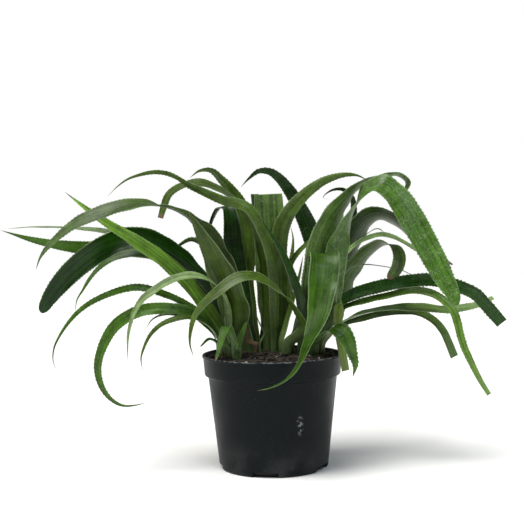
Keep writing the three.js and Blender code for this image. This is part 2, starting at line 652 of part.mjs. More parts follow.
blade("right_blue_folded", "rightRear", {
  nest: 2, facing: 290, width: 30, tip: "blunt", turn: [0, 0, 20, 30, 30], color: silver,
}, [
  [80, 27, 58], [91, 26, 87], [106, 22, 110], [122, 15, 127], [137, 7, 135], [148, 0, 131],
  [153, -5, 119], [150, -8, 106], [140, -10, 93],
]);
blade("right_thin_dark_line", "rightRear", {
  nest: 4, facing: 325, width: 6, tip: "pointed", turn: [0, 0, 0], color: dark,
}, [
  [76, 20, 60], [85, 12, 90], [97, 5, 107], [118, 3, 110], [138, 6, 107], [157, 10, 103],
  [172, 12, 96], [187, 12, 89],
]);
blade("right_low_hanging_cut", "rightRear", {
  nest: 3, facing: 0, width: 13, tip: "cut", end: 0.85, turn: [0, 20, 30, 60], color: silver,
}, [
  [75, 34, 28], [92, 29, 36], [119, 25, 44], [152, 22, 50], [176, 20, 50], [195, 19, 42],
  [208, 18, 29], [216, 18, 13], [222, 18, -2],
]);
blade("back_right_arch", "rightRear", {
  nest: 3, facing: 80, width: 26, tip: "pointed", turn: [0, 0, 0], color: deep,
}, [
  [78, 76, 75], [83, 98, 133], [88, 126, 170], [93, 155, 182], [98, 185, 172], [100, 205, 138],
]);
blade("back_right_low", "rightRear", {
  nest: 4, facing: 28, width: 14, tip: "pointed", turn: [0, 0, 0], color: deep,
}, [
  [95, 58, 63], [104, 74, 93], [110, 92, 123], [123, 116, 141], [136, 138, 150], [149, 160, 153],
  [159, 174, 147],
]);
// pupFront
blade("pup_left_hook", "pupFront", {
  nest: 2, facing: 140, width: 9, tip: "pointed", turn: [0, 0, 0], color: deep,
}, [
  [-58, -34, 18], [-67, -37, 25], [-76, -41, 27], [-84, -43, 19],
]);
blade("pup_front_drooping", "pupFront", {
  nest: 1, facing: 240, width: 12, tip: "pointed", turn: [0, 0, 0], color: deep,
}, [
  [-48, -41, 30], [-51, -46, 42], [-55, -54, 39], [-59, -60, 25], [-65, -65, 5],
]);
blade("pup_pale_tip", "pupFront", {
  nest: 0, facing: 150, width: 8, tip: "pointed", turn: [0, 0, 0], color: pale,
}, [
  [-51, -29, 25], [-54, -31, 42], [-55, -33, 56],
]);
blade("pup_right_serrated", "pupFront", {
  nest: 1, facing: 62, width: 9, tip: "pointed", turn: [0, 0, 0], color: deep,
}, [
  [-38, -29, 22], [-34, -31, 35], [-29, -33, 47],
]);
blade("pup_front_sheath", "pupFront", {
  nest: 1, facing: 338, width: 7, tip: "pointed", turn: [0, 0, 0], color: silver,
}, [
  [-41, -45, 14], [-40, -49, 22], [-43, -56, 30],
]);
// pupCentre
blade("centre_pup_spear", "pupCentre", {
  nest: 0, facing: 160, width: 10, tip: "pointed", turn: [0, 0, 0], color: dark,
}, [
  [-10, -9, 24], [-14, -8, 39], [-20, -6, 55],
]);

export default plant;
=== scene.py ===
"""A potted bromeliad: toothed, arching strap leaves in a black nursery pot, on a pale studio floor."""

import json
import math

import bpy
import numpy as np
from mathutils import Matrix, Vector


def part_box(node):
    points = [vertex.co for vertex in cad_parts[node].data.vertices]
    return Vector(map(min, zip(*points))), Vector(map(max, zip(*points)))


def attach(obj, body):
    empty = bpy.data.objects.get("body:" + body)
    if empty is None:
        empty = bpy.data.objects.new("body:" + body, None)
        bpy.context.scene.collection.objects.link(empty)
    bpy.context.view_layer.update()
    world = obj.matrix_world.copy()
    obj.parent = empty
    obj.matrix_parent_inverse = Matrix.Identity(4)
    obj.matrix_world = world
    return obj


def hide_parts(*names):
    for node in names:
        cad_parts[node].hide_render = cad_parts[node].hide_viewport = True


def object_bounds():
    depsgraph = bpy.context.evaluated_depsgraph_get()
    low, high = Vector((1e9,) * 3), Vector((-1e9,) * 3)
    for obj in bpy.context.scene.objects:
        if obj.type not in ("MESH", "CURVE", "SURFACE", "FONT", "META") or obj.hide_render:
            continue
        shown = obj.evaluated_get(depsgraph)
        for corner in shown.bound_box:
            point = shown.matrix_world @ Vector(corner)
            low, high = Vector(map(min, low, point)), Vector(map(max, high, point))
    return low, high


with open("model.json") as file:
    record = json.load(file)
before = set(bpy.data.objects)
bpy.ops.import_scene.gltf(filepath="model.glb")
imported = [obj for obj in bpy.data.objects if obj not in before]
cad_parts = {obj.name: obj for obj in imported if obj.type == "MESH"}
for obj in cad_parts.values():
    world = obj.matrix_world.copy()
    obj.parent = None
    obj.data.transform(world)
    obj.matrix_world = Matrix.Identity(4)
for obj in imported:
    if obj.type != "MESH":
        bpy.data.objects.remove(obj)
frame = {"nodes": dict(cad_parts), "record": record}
cad_low, cad_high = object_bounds()

bl_info = {
    "name": "Potted bromeliad",
    "version": (1, 0, 0),
    "blender": (4, 5, 0),
    "location": "3D View > Sidebar > Bromeliad",
    "description": "Makes the leaves, the nursery pot, the potting mix and the studio round them",
    "category": "Add Mesh",
}

MM = 0.001
HEADROOM = 4.5 * MM  # from the edge of the mix up to the rim
MOUND = 5 * MM  # how much higher the mix is in the middle
CLEARANCE = 0.3 * MM  # between pieces that touch
pot_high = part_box("pot")[1]
mix_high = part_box("potting_mix")[1]
SLOTS = {part["node"]: part["material_slot"] for part in frame["record"]["subparts"]}
LEAVES = [node for node, slot in SLOTS.items() if slot.startswith("leaf_")]

# How single leaves differ from their finish: brightness, silver scurf (0 to 1), length of the dried tip in mm
# (less than nought for none) and tooth height in mm.
LOOKS = {
    "left_upright_pointed": (0.7, 0.08, 2, 1.0),
    "left_long_straight": (1.4, 0.45, 8, 1.3),
    "left_pale_drooping": (0.95, 0.5, 6, 1.0),
    "left_low_arch": (0.85, 0.35, 4, 1.2),
    "left_curled_arch": (0.9, 0.35, 4, 1.1),
    "left_blunt_dark": (0.8, 0.0, -5, 1.2),
    "left_far_reaching": (0.8, 0.25, 4, 1.0),
    "left_silver_arch": (0.55, 0.18, 3, 1.6),
    "left_folded_upright": (0.7, 0.15, 2, 1.0),
    "centre_broad_arch": (0.75, 0.25, 3, 1.1),
    "centre_cut_left": (0.7, 0.2, -5, 0.7),
    "centre_cut_middle": (1.1, 0.7, -5, 0.7),
    "centre_cut_right": (0.9, 0.35, -5, 0.7),
    "centre_cut_short": (0.8, 0.4, -5, 0.7),
    "front_folded": (0.6, 0.15, 3, 1.3),
    "front_dark_spear": (0.8, 0.1, 2, 0.7),
    "right_broad_rising": (1.3, 0.6, 2, 1.1),
    "right_great_arch": (0.95, 0.9, -5, 1.8),
    "right_dark_arch": (0.5, 0.1, 2, 1.2),
    "right_dark_cut": (1.0, 0.2, -5, 1.7),
    "right_blue_folded": (0.8, 0.35, 3, 1.0),
    "right_long_hanging": (1.0, 0.5, 22, 1.3),
    "right_level_silver": (1.5, 0.8, -5, 1.3),
    "right_pale_thin_arch": (2.2, 1.0, 2, 1.0),
    "right_low_serrated": (0.9, 0.4, 3, 2.0),
    "right_low_cut": (0.6, 0.2, -5, 0.8),
    "right_low_hanging_cut": (0.9, 0.5, -5, 1.0),
    "pup_right_serrated": (1.0, 0.2, 1, 1.7),
}
USUAL_LOOK = (0.9, 0.3, 2, 1.1)


# ---- sizes and colours that can be changed ----


def length(name, default_mm, description):
    """A property for a length, kept in metres."""
    return bpy.props.FloatProperty(
        name=name, description=description, default=default_mm * MM, min=0, subtype="DISTANCE", unit="LENGTH"
    )


def share(name, default, description, most=1.0):
    """A property for a plain number from nought up."""
    return bpy.props.FloatProperty(name=name, description=description, default=default, min=0, max=most)


def count(name, default, description):
    """A property for how many there are."""
    return bpy.props.IntProperty(name=name, description=description, default=default, min=0)


def tint(name, default, description):
    """A property for a colour."""
    return bpy.props.FloatVectorProperty(
        name=name, description=description, default=default, min=0, max=1, size=3, subtype="COLOR"
    )


class LeafSettings(bpy.types.PropertyGroup):
    tooth_spacing: length("Tooth spacing", 4.4, "From one marginal tooth to the next")
    margin: length("Margin thickness", 0.3, "Thickness of the blade at its very edge")
    thickness: share("Thickness share", 0.75, "Thickness in the middle, as a share of the frame's blade")
    waviness: share("Waviness", 0.05, "How far the margins rise and fall, as a share of the half width")
    across: count("Points across", 13, "Points across each face of a blade")
    green: tint("Green", (0.037, 0.102, 0.003), "Mid green upper face")
    dark: tint("Dark green", (0.007, 0.036, 0.001), "Darkest upper face")
    olive: tint("Olive", (0.046, 0.090, 0.004), "Olive upper face")
    bright: tint("Bright green", (0.088, 0.180, 0.016), "Lightest green upper face")
    silver: tint("Silver green", (0.062, 0.120, 0.018), "Upper face under silver scurf")
    pale: tint("Pale green", (0.150, 0.230, 0.080), "Pale grey-green face")
    yellow: tint("Yellow green", (0.150, 0.220, 0.030), "Ageing leaf")
    dry: tint("Dried brown", (0.060, 0.034, 0.017), "Dried leaf and dried tips")
    scurf: tint("Scurf", (0.33, 0.43, 0.24), "Silver scales on both faces")


class PotSettings(bpy.types.PropertyGroup):
    base_radius: length("Base radius", 66, "Radius at the foot of the wall")
    body_top_radius: length("Body top radius", 78, "Radius of the body under the band")
    band_foot_radius: length("Band foot radius", 82.2, "Radius at the foot of the band")
    band_radius: length("Band radius", 83.8, "Radius of the band under the lip")
    band: length("Band height", 24, "Height of the band round the mouth")
    lip: length("Lip height", 3, "Height of the lip")
    wall: length("Wall", 1.6, "Wall thickness")
    floor: length("Floor", 2, "Floor thickness")
    foot_round: length("Foot rounding", 3, "Rounding at the foot")
    drains: count("Drains", 5, "Recesses in the foot")
    drain_width: length("Drain width", 30, "Width of a recess")
    drain_height: length("Drain height", 6, "Height of a recess")
    drain_depth: length("Drain depth", 15, "Depth of a recess, inwards from the wall")
    drain_hole: length("Drain hole", 8, "Diameter of the hole in the roof of a recess")
    first_drain: bpy.props.FloatProperty(
        name="First drain",
        description="Direction of the first recess from the X axis",
        default=math.radians(-99),
        subtype="ANGLE",
        unit="ROTATION",
    )
    plastic: tint("Plastic", (0.0030, 0.0052, 0.0062), "Black polypropylene")
    scuff: tint("Scuffs", (0.20, 0.21, 0.21), "Scuffs and dried water marks")


class MixSettings(bpy.types.PropertyGroup):
    bump: length("Lumps", 1.6, "Height of the lumps in the surface")
    chips: count("Bark chips", 260, "Bark chips on the surface")
    crumbs: count("Crumbs", 900, "Dark crumbs of peat on the surface")
    grains: count("Perlite grains", 30, "White grains on the surface")
    roots: count("Fine roots", 70, "Fibres on the surface")
    peat: tint("Peat", (0.005, 0.0032, 0.002), "Damp peat")
    bark: tint("Bark", (0.024, 0.014, 0.007), "Composted bark")
    perlite: tint("Perlite", (0.62, 0.60, 0.55), "Expanded perlite")
    fibre: tint("Fibre", (0.12, 0.085, 0.045), "Fine roots and coir")
    rhizome: tint("Rootstock", (0.105, 0.075, 0.04), "Woody rootstock")


class StageSettings(bpy.types.PropertyGroup):
    distance: length("Camera distance", 1150, "From the pot's axis to the camera")
    height: length("Camera height", 285, "Height of the camera over the floor")
    lens: bpy.props.FloatProperty(name="Lens", description="Focal length in mm", default=65.4, unit="CAMERA")
    pitch: bpy.props.FloatProperty(
        name="Pitch",
        description="Upward tilt",
        default=math.radians(-1.9),
        subtype="ANGLE",
        unit="ROTATION",
    )
    yaw: bpy.props.FloatProperty(
        name="Yaw",
        description="Turn to the right",
        default=math.radians(-0.53),
        subtype="ANGLE",
        unit="ROTATION",
    )
    roll: bpy.props.FloatProperty(
        name="Roll",
        description="Turn about the view",
        default=math.radians(0.95),
        subtype="ANGLE",
        unit="ROTATION",
    )
    key: bpy.props.FloatProperty(
        name="Windows",
        description="Power that the window lights share out",
        default=21,
        min=0,
        subtype="POWER",
        unit="POWER",
    )
    overhead: share("Overhead light", 3.8, "Strength of the soft overhead light", 20.0)
    sky: share("Surround", 0.5, "Brightness of the white surround", 4.0)
    floor: tint("Floor", (0.90, 0.90, 0.89), "Pale studio floor")


# ---- numbers ----


def ease(value, low, high):
    """The smooth step 3t^2 - 2t^3 of the share t that value has covered between low and high."""
    t = np.clip((value - low) / (high - low), 0, 1)
    return t * t * (3 - 2 * t)


def lumps(points, cell, seed):
    """Value noise from -1 to 1: random numbers at the corners of a cubic lattice with the cell's size,
    blended between the eight corners round each point by products of the smooth step."""
    values = np.random.default_rng(seed).uniform(-1, 1, 4096)
    place = points / cell
    low = np.floor(place).astype(np.int64)
    weight = ease(place - low, 0, 1)
    total = np.zeros(points.shape[:-1])
    for corner in np.ndindex(2, 2, 2):
        key = (low + corner) @ np.array([73856093, 19349663, 83492791])
        total += np.prod(np.where(corner, weight, 1 - weight), axis=-1) * values[key % 4096]
    return total


def unit(vectors):
    """Each vector divided by its length."""
    return vectors / np.maximum(np.linalg.norm(vectors, axis=-1, keepdims=True), 1e-12)


def follow(stations, values, at):
    """A smooth curve through values at stations, read at the positions in at: on each span the cubic
    Hermite of the two values and of the slopes between each station's neighbours."""
    slopes = np.empty_like(values)
    slopes[1:-1] = (values[2:] - values[:-2]) / (stations[2:] - stations[:-2])[:, None]
    slopes[0] = (values[1] - values[0]) / (stations[1] - stations[0])
    slopes[-1] = (values[-1] - values[-2]) / (stations[-1] - stations[-2])
    span = np.clip(np.searchsorted(stations, at, side="right") - 1, 0, len(stations) - 2)
    size = (stations[span + 1] - stations[span])[:, None]
    t = (at - stations[span])[:, None] / size
    return (
        (2 * t**3 - 3 * t**2 + 1) * values[span]
        + (t**3 - 2 * t**2 + t) * size * slopes[span]
        + (3 * t**2 - 2 * t**3) * values[span + 1]
        + (t**3 - t**2) * size * slopes[span + 1]
    )


# ---- meshes ----


def make_piece(name, points, quads, triangles, material, fields=None, uv=None):
    """One mesh object at the origin from arrays of points and corners, with smooth faces, per-point fields
    (arrays of shape (points, 3)) and a UV per point. It rides on the root body."""
    mesh = bpy.data.meshes.new(name)
    corners = np.concatenate([quads.ravel(), triangles.ravel()]).astype(np.int32)
    starts = np.concatenate([4 * np.arange(len(quads)), 4 * len(quads) + 3 * np.arange(len(triangles))])
    mesh.vertices.add(len(points))
    mesh.vertices.foreach_set("co", points.astype(np.float32).ravel())
    mesh.loops.add(len(corners))
    mesh.loops.foreach_set("vertex_index", corners)
    mesh.polygons.add(len(starts))
    mesh.polygons.foreach_set("loop_start", starts.astype(np.int32))
    mesh.update(calc_edges=True)
    mesh.shade_smooth()
    for field, numbers in (fields or {}).items():
        layer = mesh.attributes.new(field, "FLOAT_VECTOR", "POINT")
        layer.data.foreach_set("vector", numbers.astype(np.float32).ravel())
    if uv is not None:
        mesh.uv_layers.new(name="surface").data.foreach_set("uv", uv[corners].astype(np.float32).ravel())
    mesh.materials.append(material)
    piece = bpy.data.objects.new(name, mesh)
    bpy.context.scene.collection.objects.link(piece)
    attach(piece, "root")
    return piece


NO_TRIANGLES = np.zeros((0, 3), int)


def ring_quads(rings, columns, outward=True):
    """Corners of the quads between closed rings of points, ring after ring. Each quad goes along its own ring
    first when outward is true, and to the next ring first when it is false."""
    i, j = np.meshgrid(np.arange(rings - 1) * columns, np.arange(columns), indexing="ij")
    after = (j + 1) % columns
    here, beside, over, ahead = i + j, i + after, i + columns + after, i + columns + j
    order = (here, beside, over, ahead) if outward else (here, ahead, over, beside)
    return np.stack(order, axis=-1).reshape(-1, 4)


def turned(profile_r, profile_z, turns):
    """Points of a profile carried round Z. profile_r and profile_z have the shape (heights, turns); the first
    and the last row lie on the axis and become one point each. Returns points, quads and triangles."""
    rows, columns = profile_r.shape
    ring = np.stack([profile_r * np.cos(turns), profile_r * np.sin(turns), profile_z], axis=-1)[1:-1]
    first, last = [0, 0, profile_z[0].mean()], [0, 0, profile_z[-1].mean()]
    points = np.concatenate([[first], ring.reshape(-1, 3), [last]])
    quads = 1 + ring_quads(rows - 2, columns)
    j = np.arange(columns)
    after = (j + 1) % columns
    end = len(points) - 1
    last = end - columns
    start_fan = np.stack([np.zeros_like(j), 1 + after, 1 + j], axis=-1)
    end_fan = np.stack([np.full_like(j, end), last + j, last + after], axis=-1)
    return points, quads, np.concatenate([start_fan, end_fan])


# ---- materials ----


class Nodes:
    """Short calls that add nodes to one tree and join them. A value is a number, a colour or a socket."""

    def __init__(self, tree):
        self.tree = tree

    def add(self, kind, **settings):
        node = self.tree.nodes.new(kind)
        for key, value in settings.items():
            setattr(node, key, value)
        return node

    def put(self, socket, value):
        if isinstance(value, bpy.types.NodeSocket):
            self.tree.links.new(value, socket)
        elif socket.type == "RGBA" and len(value) == 3:
            socket.default_value = (*value, 1)
        else:
            socket.default_value = value

    def math(self, operation, a, b=0.0, clamp=False):
        node = self.add("ShaderNodeMath", operation=operation, use_clamp=clamp)
        self.put(node.inputs[0], a)
        self.put(node.inputs[1], b)
        return node.outputs[0]

    def vector(self, operation, a, b):
        node = self.add("ShaderNodeVectorMath", operation=operation)
        self.put(node.inputs[0], a)
        self.put(node.inputs[1], b)
        return node.outputs[0] if operation not in ("DISTANCE", "LENGTH") else node.outputs["Value"]

    def mix(self, factor, a, b, blend="MIX"):
        node = self.add("ShaderNodeMix", data_type="RGBA", blend_type=blend)
        self.put(node.inputs["Factor"], factor)
        self.put(node.inputs["A"], a)
        self.put(node.inputs["B"], b)
        return node.outputs["Result"]

    def span(self, value, low, high, to_low=0.0, to_high=1.0):
        node = self.add("ShaderNodeMapRange", interpolation_type="SMOOTHSTEP")
        for socket, number in zip(node.inputs, (value, low, high, to_low, to_high)):
            self.put(socket, number)
        return node.outputs[0]

    def noise(self, vector, scale, detail=2.0, roughness=0.5):
        node = self.add("ShaderNodeTexNoise")
        self.put(node.inputs["Vector"], vector)
        self.put(node.inputs["Scale"], scale)
        self.put(node.inputs["Detail"], detail)
        self.put(node.inputs["Roughness"], roughness)
        return node.outputs["Fac"]

    def field(self, name):
        node = self.add("ShaderNodeAttribute", attribute_name=name)
        split = self.add("ShaderNodeSeparateXYZ")
        self.tree.links.new(node.outputs["Vector"], split.inputs[0])
        return node.outputs["Vector"], split.outputs

    def here(self):
        """Object coordinates, and the same split in three."""
        node = self.add("ShaderNodeTexCoord")
        split = self.add("ShaderNodeSeparateXYZ")
        self.tree.links.new(node.outputs["Object"], split.inputs[0])
        return node.outputs["Object"], split.outputs


def new_group(name, inputs, outputs):
    """An empty shader node group with named sockets, and its input and output nodes."""
    tree = bpy.data.node_groups.new(name, "ShaderNodeTree")
    for label, kind, default in inputs:
        socket = tree.interface.new_socket(name=label, in_out="INPUT", socket_type=kind)
        socket.default_value = default
    for label, kind in outputs:
        tree.interface.new_socket(name=label, in_out="OUTPUT", socket_type=kind)
    nodes = Nodes(tree)
    return tree, nodes, nodes.add("NodeGroupInput").outputs, nodes.add("NodeGroupOutput").inputs


def new_material(name, roughness=0.5, bump=0.0, reach=0.0005):
    """A material with a Principled shader and a Bump node: returns it, its nodes, the shader and the height
    socket."""
    material = bpy.data.materials.new(name)
    material.use_nodes = True
    nodes = Nodes(material.node_tree)
    shader = material.node_tree.nodes["Principled BSDF"]
    shader.inputs["Roughness"].default_value = roughness
    relief = nodes.add("ShaderNodeBump")
    relief.inputs["Strength"].default_value = bump
    relief.inputs["Distance"].default_value = reach
    nodes.put(shader.inputs["Normal"], relief.outputs[0])
    return material, nodes, shader, relief.inputs["Height"]


def leaf_face_group():
    """The look of both faces of a blade. The field place holds the distance from the midrib and from the
    base in metres and the leaf's own number; state holds the share across (0 at the midrib, 1 at the margin),
    which face it is (1 upper) and how dried it is; tone holds the leaf's brightness and scurf."""
    kinds = {"c": "NodeSocketColor", "f": "NodeSocketFloat"}
    tree, n, given, made = new_group(
        "Leaf face",
        [
            ("Upper", kinds["c"], (0.05, 0.1, 0.02, 1)),
            ("Lower", kinds["c"], (0.1, 0.15, 0.06, 1)),
            ("Scurf", kinds["c"], (0.4, 0.5, 0.4, 1)),
            ("Dried", kinds["c"], (0.12, 0.07, 0.03, 1)),
            ("Gloss", kinds["f"], 0.36),
        ],
        [("Color", kinds["c"]), ("Roughness", kinds["f"]), ("Height", kinds["f"])],
    )
    place, (_, along, _) = n.field("place")
    _, (across, upper, dried) = n.field("state")
    _, (brightness, scurf, _) = n.field("tone")
    where, _ = n.here()
    fine = n.noise(n.vector("MULTIPLY", place, (2300, 22, 7)), 1.0, 3.0, 0.6)
    broad = n.noise(n.vector("MULTIPLY", place, (330, 7, 11)), 1.0, 2.0)
    cells = n.noise(n.vector("MULTIPLY", place, (900, 420, 5)), 1.0, 3.0, 0.7)
    patches = n.noise(where, 70.0, 4.0, 0.6)
    bands = n.noise(n.vector("MULTIPLY", place, (25, 160, 3)), 1.0, 3.0, 0.7)
    # green, streaked along the blade and mottled in patches
    face = n.mix(upper, given["Lower"], given["Upper"])
    shade = n.math("MULTIPLY", n.span(broad, 0.3, 0.7, 0.62, 1.42), n.span(patches, 0.3, 0.7, 0.70, 1.25))
    shade = n.math("MULTIPLY", shade, n.span(fine, 0.3, 0.7, 0.82, 1.2))
    shade = n.math("MULTIPLY", shade, brightness)
    tone = n.add("ShaderNodeCombineXYZ")
    for socket in tone.inputs:
        n.put(socket, shade)
    face = n.mix(1.0, face, tone.outputs[0], "MULTIPLY")
    # paler at the base, where the blade wraps its crown
    young = n.span(along, 0.0, 0.070, 0.40, 0.0)
    face = n.mix(young, face, n.mix(0.35, given["Lower"], given["Scurf"]))
    # silver scales: dense flecks that gather in cross bands, alike on both faces
    flecks = n.span(cells, 0.50, 0.66)
    veil = n.math("MULTIPLY", n.span(bands, 0.35, 0.65, 0.25, 1.0), scurf)
    veil = n.math("MULTIPLY", veil, n.math("ADD", n.math("MULTIPLY", flecks, 0.60), 0.06), True)
    face = n.mix(veil, face, given["Scurf"])
    # a thin pale margin and a faint midrib
    edge = n.math("MULTIPLY", n.span(across, 0.90, 0.99), n.span(cells, 0.3, 0.6, 0.35, 0.75))
    face = n.mix(edge, face, n.mix(0.4, given["Scurf"], given["Lower"]))
    rib = n.math("MULTIPLY", n.span(across, 0.03, 0.10, 0.30, 0.0), upper)
    face = n.mix(rib, face, given["Lower"])
    # dried tips, cut ends and a few spots
    frayed = n.math("ADD", dried, n.math("MULTIPLY", n.math("SUBTRACT", cells, 0.5), 0.9))
    spots = n.span(n.noise(n.vector("MULTIPLY", place, (260, 150, 17)), 1.0, 2.0), 0.74, 0.80)
    brown = n.math("MAXIMUM", n.span(frayed, 0.35, 0.65), n.math("MULTIPLY", spots, 0.55))
    face = n.mix(brown, face, n.mix(n.span(fine, 0.3, 0.7), given["Dried"], (0.17, 0.12, 0.065)))
    n.put(made["Color"], face)
    rough = n.math("ADD", given["Gloss"], n.math("MULTIPLY", veil, 0.35))
    rough = n.math("ADD", rough, n.math("MULTIPLY", brown, 0.3))
    n.put(made["Roughness"], n.math("ADD", rough, n.span(fine, 0.3, 0.7, 0.0, 0.10), True))
    height = n.math("ADD", n.math("MULTIPLY", fine, 0.6), n.math("MULTIPLY", broad, 0.7))
    height = n.math("ADD", height, n.math("MULTIPLY", flecks, 0.16))
    n.put(made["Height"], height)
    return tree


def grain_group():
    """Mottled organic matter: two colours blended by fine and coarse noise, with the same noise as height."""
    tree, n, given, made = new_group(
        "Grain",
        [
            ("Dark", "NodeSocketColor", (0.02, 0.01, 0.01, 1)),
            ("Light", "NodeSocketColor", (0.2, 0.1, 0.05, 1)),
            ("Scale", "NodeSocketFloat", 300.0),
            ("Balance", "NodeSocketFloat", 0.5),
        ],
        [("Color", "NodeSocketColor"), ("Height", "NodeSocketFloat")],
    )
    where, _ = n.here()
    coarse = n.noise(where, n.math("MULTIPLY", given["Scale"], 0.25), 3.0, 0.6)
    fine = n.noise(where, given["Scale"], 4.0, 0.65)
    both = n.math("ADD", n.math("MULTIPLY", coarse, 0.5), n.math("MULTIPLY", fine, 0.5))
    level = n.math("SUBTRACT", both, n.math("SUBTRACT", 0.5, given["Balance"]))
    n.put(made["Color"], n.mix(n.span(level, 0.38, 0.62), given["Dark"], given["Light"]))
    n.put(made["Height"], both)
    return tree


def shared_group(name, build):
    """The node group with this name, built the first time that it is asked for."""
    return bpy.data.node_groups.get(name) or build()


def place_group(nodes, tree, values):
    """A group node with its inputs set to one material's own values."""
    group = nodes.add("ShaderNodeGroup", node_tree=tree)
    for label, value in values.items():
        nodes.put(group.inputs[label], value)
    return group.outputs


def leaf_material(name, upper, lower, settings, gloss):
    """Leaf green for one finish, from the shared leaf face group."""
    material, nodes, shader, height = new_material(name, bump=0.55, reach=0.0004)
    look = place_group(
        nodes,
        shared_group("Leaf face", leaf_face_group),
        {"Upper": upper, "Lower": lower, "Scurf": settings.scurf, "Dried": settings.dry, "Gloss": gloss},
    )
    shader.inputs["Specular IOR Level"].default_value = 0.22
    nodes.put(shader.inputs["Base Color"], look["Color"])
    nodes.put(shader.inputs["Roughness"], look["Roughness"])
    nodes.put(height, look["Height"])
    return material


def grain_material(name, dark, light, scale, balance=0.5, roughness=0.85, bump=0.8, reach=0.0008):
    """Peat, bark, perlite, fibre or rootstock, from the shared grain group."""
    material, nodes, shader, height = new_material(name, roughness, bump, reach)
    tree = shared_group("Grain", grain_group)
    look = place_group(nodes, tree, {"Dark": dark, "Light": light, "Scale": scale, "Balance": balance})
    nodes.put(shader.inputs["Base Color"], look["Color"])
    nodes.put(height, look["Height"])
    return material


def plastic_material(settings, lip_height):
    """Black moulded plastic: a fine orange peel, faint upright draw marks, a scuffed lip, dust towards the
    foot, pale specks and one dried drop."""
    material, n, shader, height = new_material("pot_plastic", bump=0.35, reach=0.0004)
    where, (_, _, z) = n.here()
    peel = n.noise(where, 900.0, 2.0)
    cloud = n.noise(where, 28.0, 4.0, 0.6)
    upright = n.noise(n.vector("MULTIPLY", where, (420, 420, 9)), 1.0, 3.0, 0.6)
    worn = n.noise(where, 240.0, 4.0, 0.7)
    corner = n.span(z, lip_height - 0.0016, lip_height - 0.0002)
    lip = n.math("MULTIPLY", corner, n.span(worn, 0.42, 0.62, 0.0, 0.8))
    specks = n.math("MULTIPLY", n.span(n.noise(where, 420.0, 2.0), 0.72, 0.78), 0.25)
    dust = n.math("MULTIPLY", n.span(z, 0.0, 0.05, 0.12, 0.0), n.span(cloud, 0.35, 0.7))
    # a dried drop low on the front, longer than it is wide
    squeezed = n.vector("MULTIPLY", where, (1.0, 0.2, 0.34))
    far = n.vector("DISTANCE", squeezed, (0.0305, -0.0134, 0.0208))
    drop = n.math("MULTIPLY", n.span(far, 0.0018, 0.0052, 1.0, 0.0), n.span(worn, 0.50, 0.60))
    marks = n.math("MAXIMUM", n.math("MAXIMUM", lip, specks), n.math("MAXIMUM", dust, drop))
    draw = n.math("MULTIPLY", n.span(upright, 0.55, 0.75), 0.015)
    marks = n.math("ADD", marks, draw, True)
    shader.inputs["Specular IOR Level"].default_value = 0.10
    n.put(shader.inputs["Base Color"], n.mix(marks, settings.plastic, settings.scuff))
    rough = n.math("ADD", n.span(cloud, 0.3, 0.7, 0.30, 0.42), n.math("MULTIPLY", marks, 0.4))
    n.put(shader.inputs["Roughness"], n.math("ADD", rough, n.span(upright, 0.3, 0.7, 0.0, 0.06), True))
    n.put(height, n.math("ADD", n.math("MULTIPLY", peel, 0.25), n.math("MULTIPLY", upright, 0.35)))
    return material


# ---- leaves ----


def blade_sections(node):
    """The cross-sections of a blade of the frame, in order from its base: the welded mesh is walked from
    ring to ring. Each ring is left margin, upper face, right margin, lower face. Returns an array
    (rings, 4, 3) and the apex, or None where the blade ends square."""
    mesh = frame["nodes"][node].data
    points = np.empty(3 * len(mesh.vertices))
    mesh.vertices.foreach_get("co", points)
    corners = np.empty(3 * len(mesh.polygons), int)
    mesh.polygons.foreach_get("vertices", corners)
    spots, welded = np.unique(np.round(points.reshape(-1, 3), 6), axis=0, return_inverse=True)
    faces = welded.ravel()[corners].reshape(-1, 3)
    touching = [set() for _ in spots]
    for a, b, c in faces:
        touching[a] |= {b, c}
        touching[b] |= {a, c}
        touching[c] |= {a, b}
    loose = {k for k, near in enumerate(touching) if len(near) < 6}
    ends = []
    while loose:
        group, edge = set(), {loose.pop()}
        while edge:
            group |= edge
            edge = {k for e in edge for k in touching[e]} & loose
            loose -= edge
        ends.append(sorted(group))
    squares = [end for end in ends if len(end) == 4 and min(len(touching[k]) for k in end) == 3]
    base = min(squares, key=lambda end: spots[end][:, 2].mean() + 10 * (np.ptp(spots[end][:, 2]) > 0.01))
    rings, seen, apex = [list(base)], set(base), None
    while True:
        ring = {k for e in rings[-1] for k in touching[e]} - seen
        if not ring:
            break
        seen |= ring
        if len(ring) == 1:
            apex = spots[ring.pop()]
            break
        if len(ring) != 4:
            raise ValueError(f"{node}: a ring of {len(ring)} points")
        rings.append(sorted(ring))
    growing = spots[rings[1]].mean(axis=0) - spots[rings[0]].mean(axis=0)
    orders = np.array([p for p in np.ndindex(4, 4, 4, 4) if len(set(p)) == 4])
    first = spots[rings[0]][orders]
    left, top, right, low = (first[:, k] for k in range(4))
    middle = (left + right) / 2
    fit = np.linalg.norm(top - low, axis=1) * 4 + np.linalg.norm(middle - top, axis=1)
    fit += 1e3 * (np.einsum("ij,j->i", np.cross(right - left, top - low), growing) < 0)
    fit += 1e3 * (np.linalg.norm(middle - top, axis=1) > np.linalg.norm(middle - low, axis=1))
    sections = [first[np.argmin(fit)]]
    for ring in rings[1:]:
        choices = spots[ring][orders]
        was = sections[-1] - sections[-1].mean(axis=0)
        miss = ((choices - choices.mean(axis=1, keepdims=True) - was) ** 2).sum(axis=(1, 2))
        sections.append(choices[np.argmin(miss)])
    return np.array(sections), apex


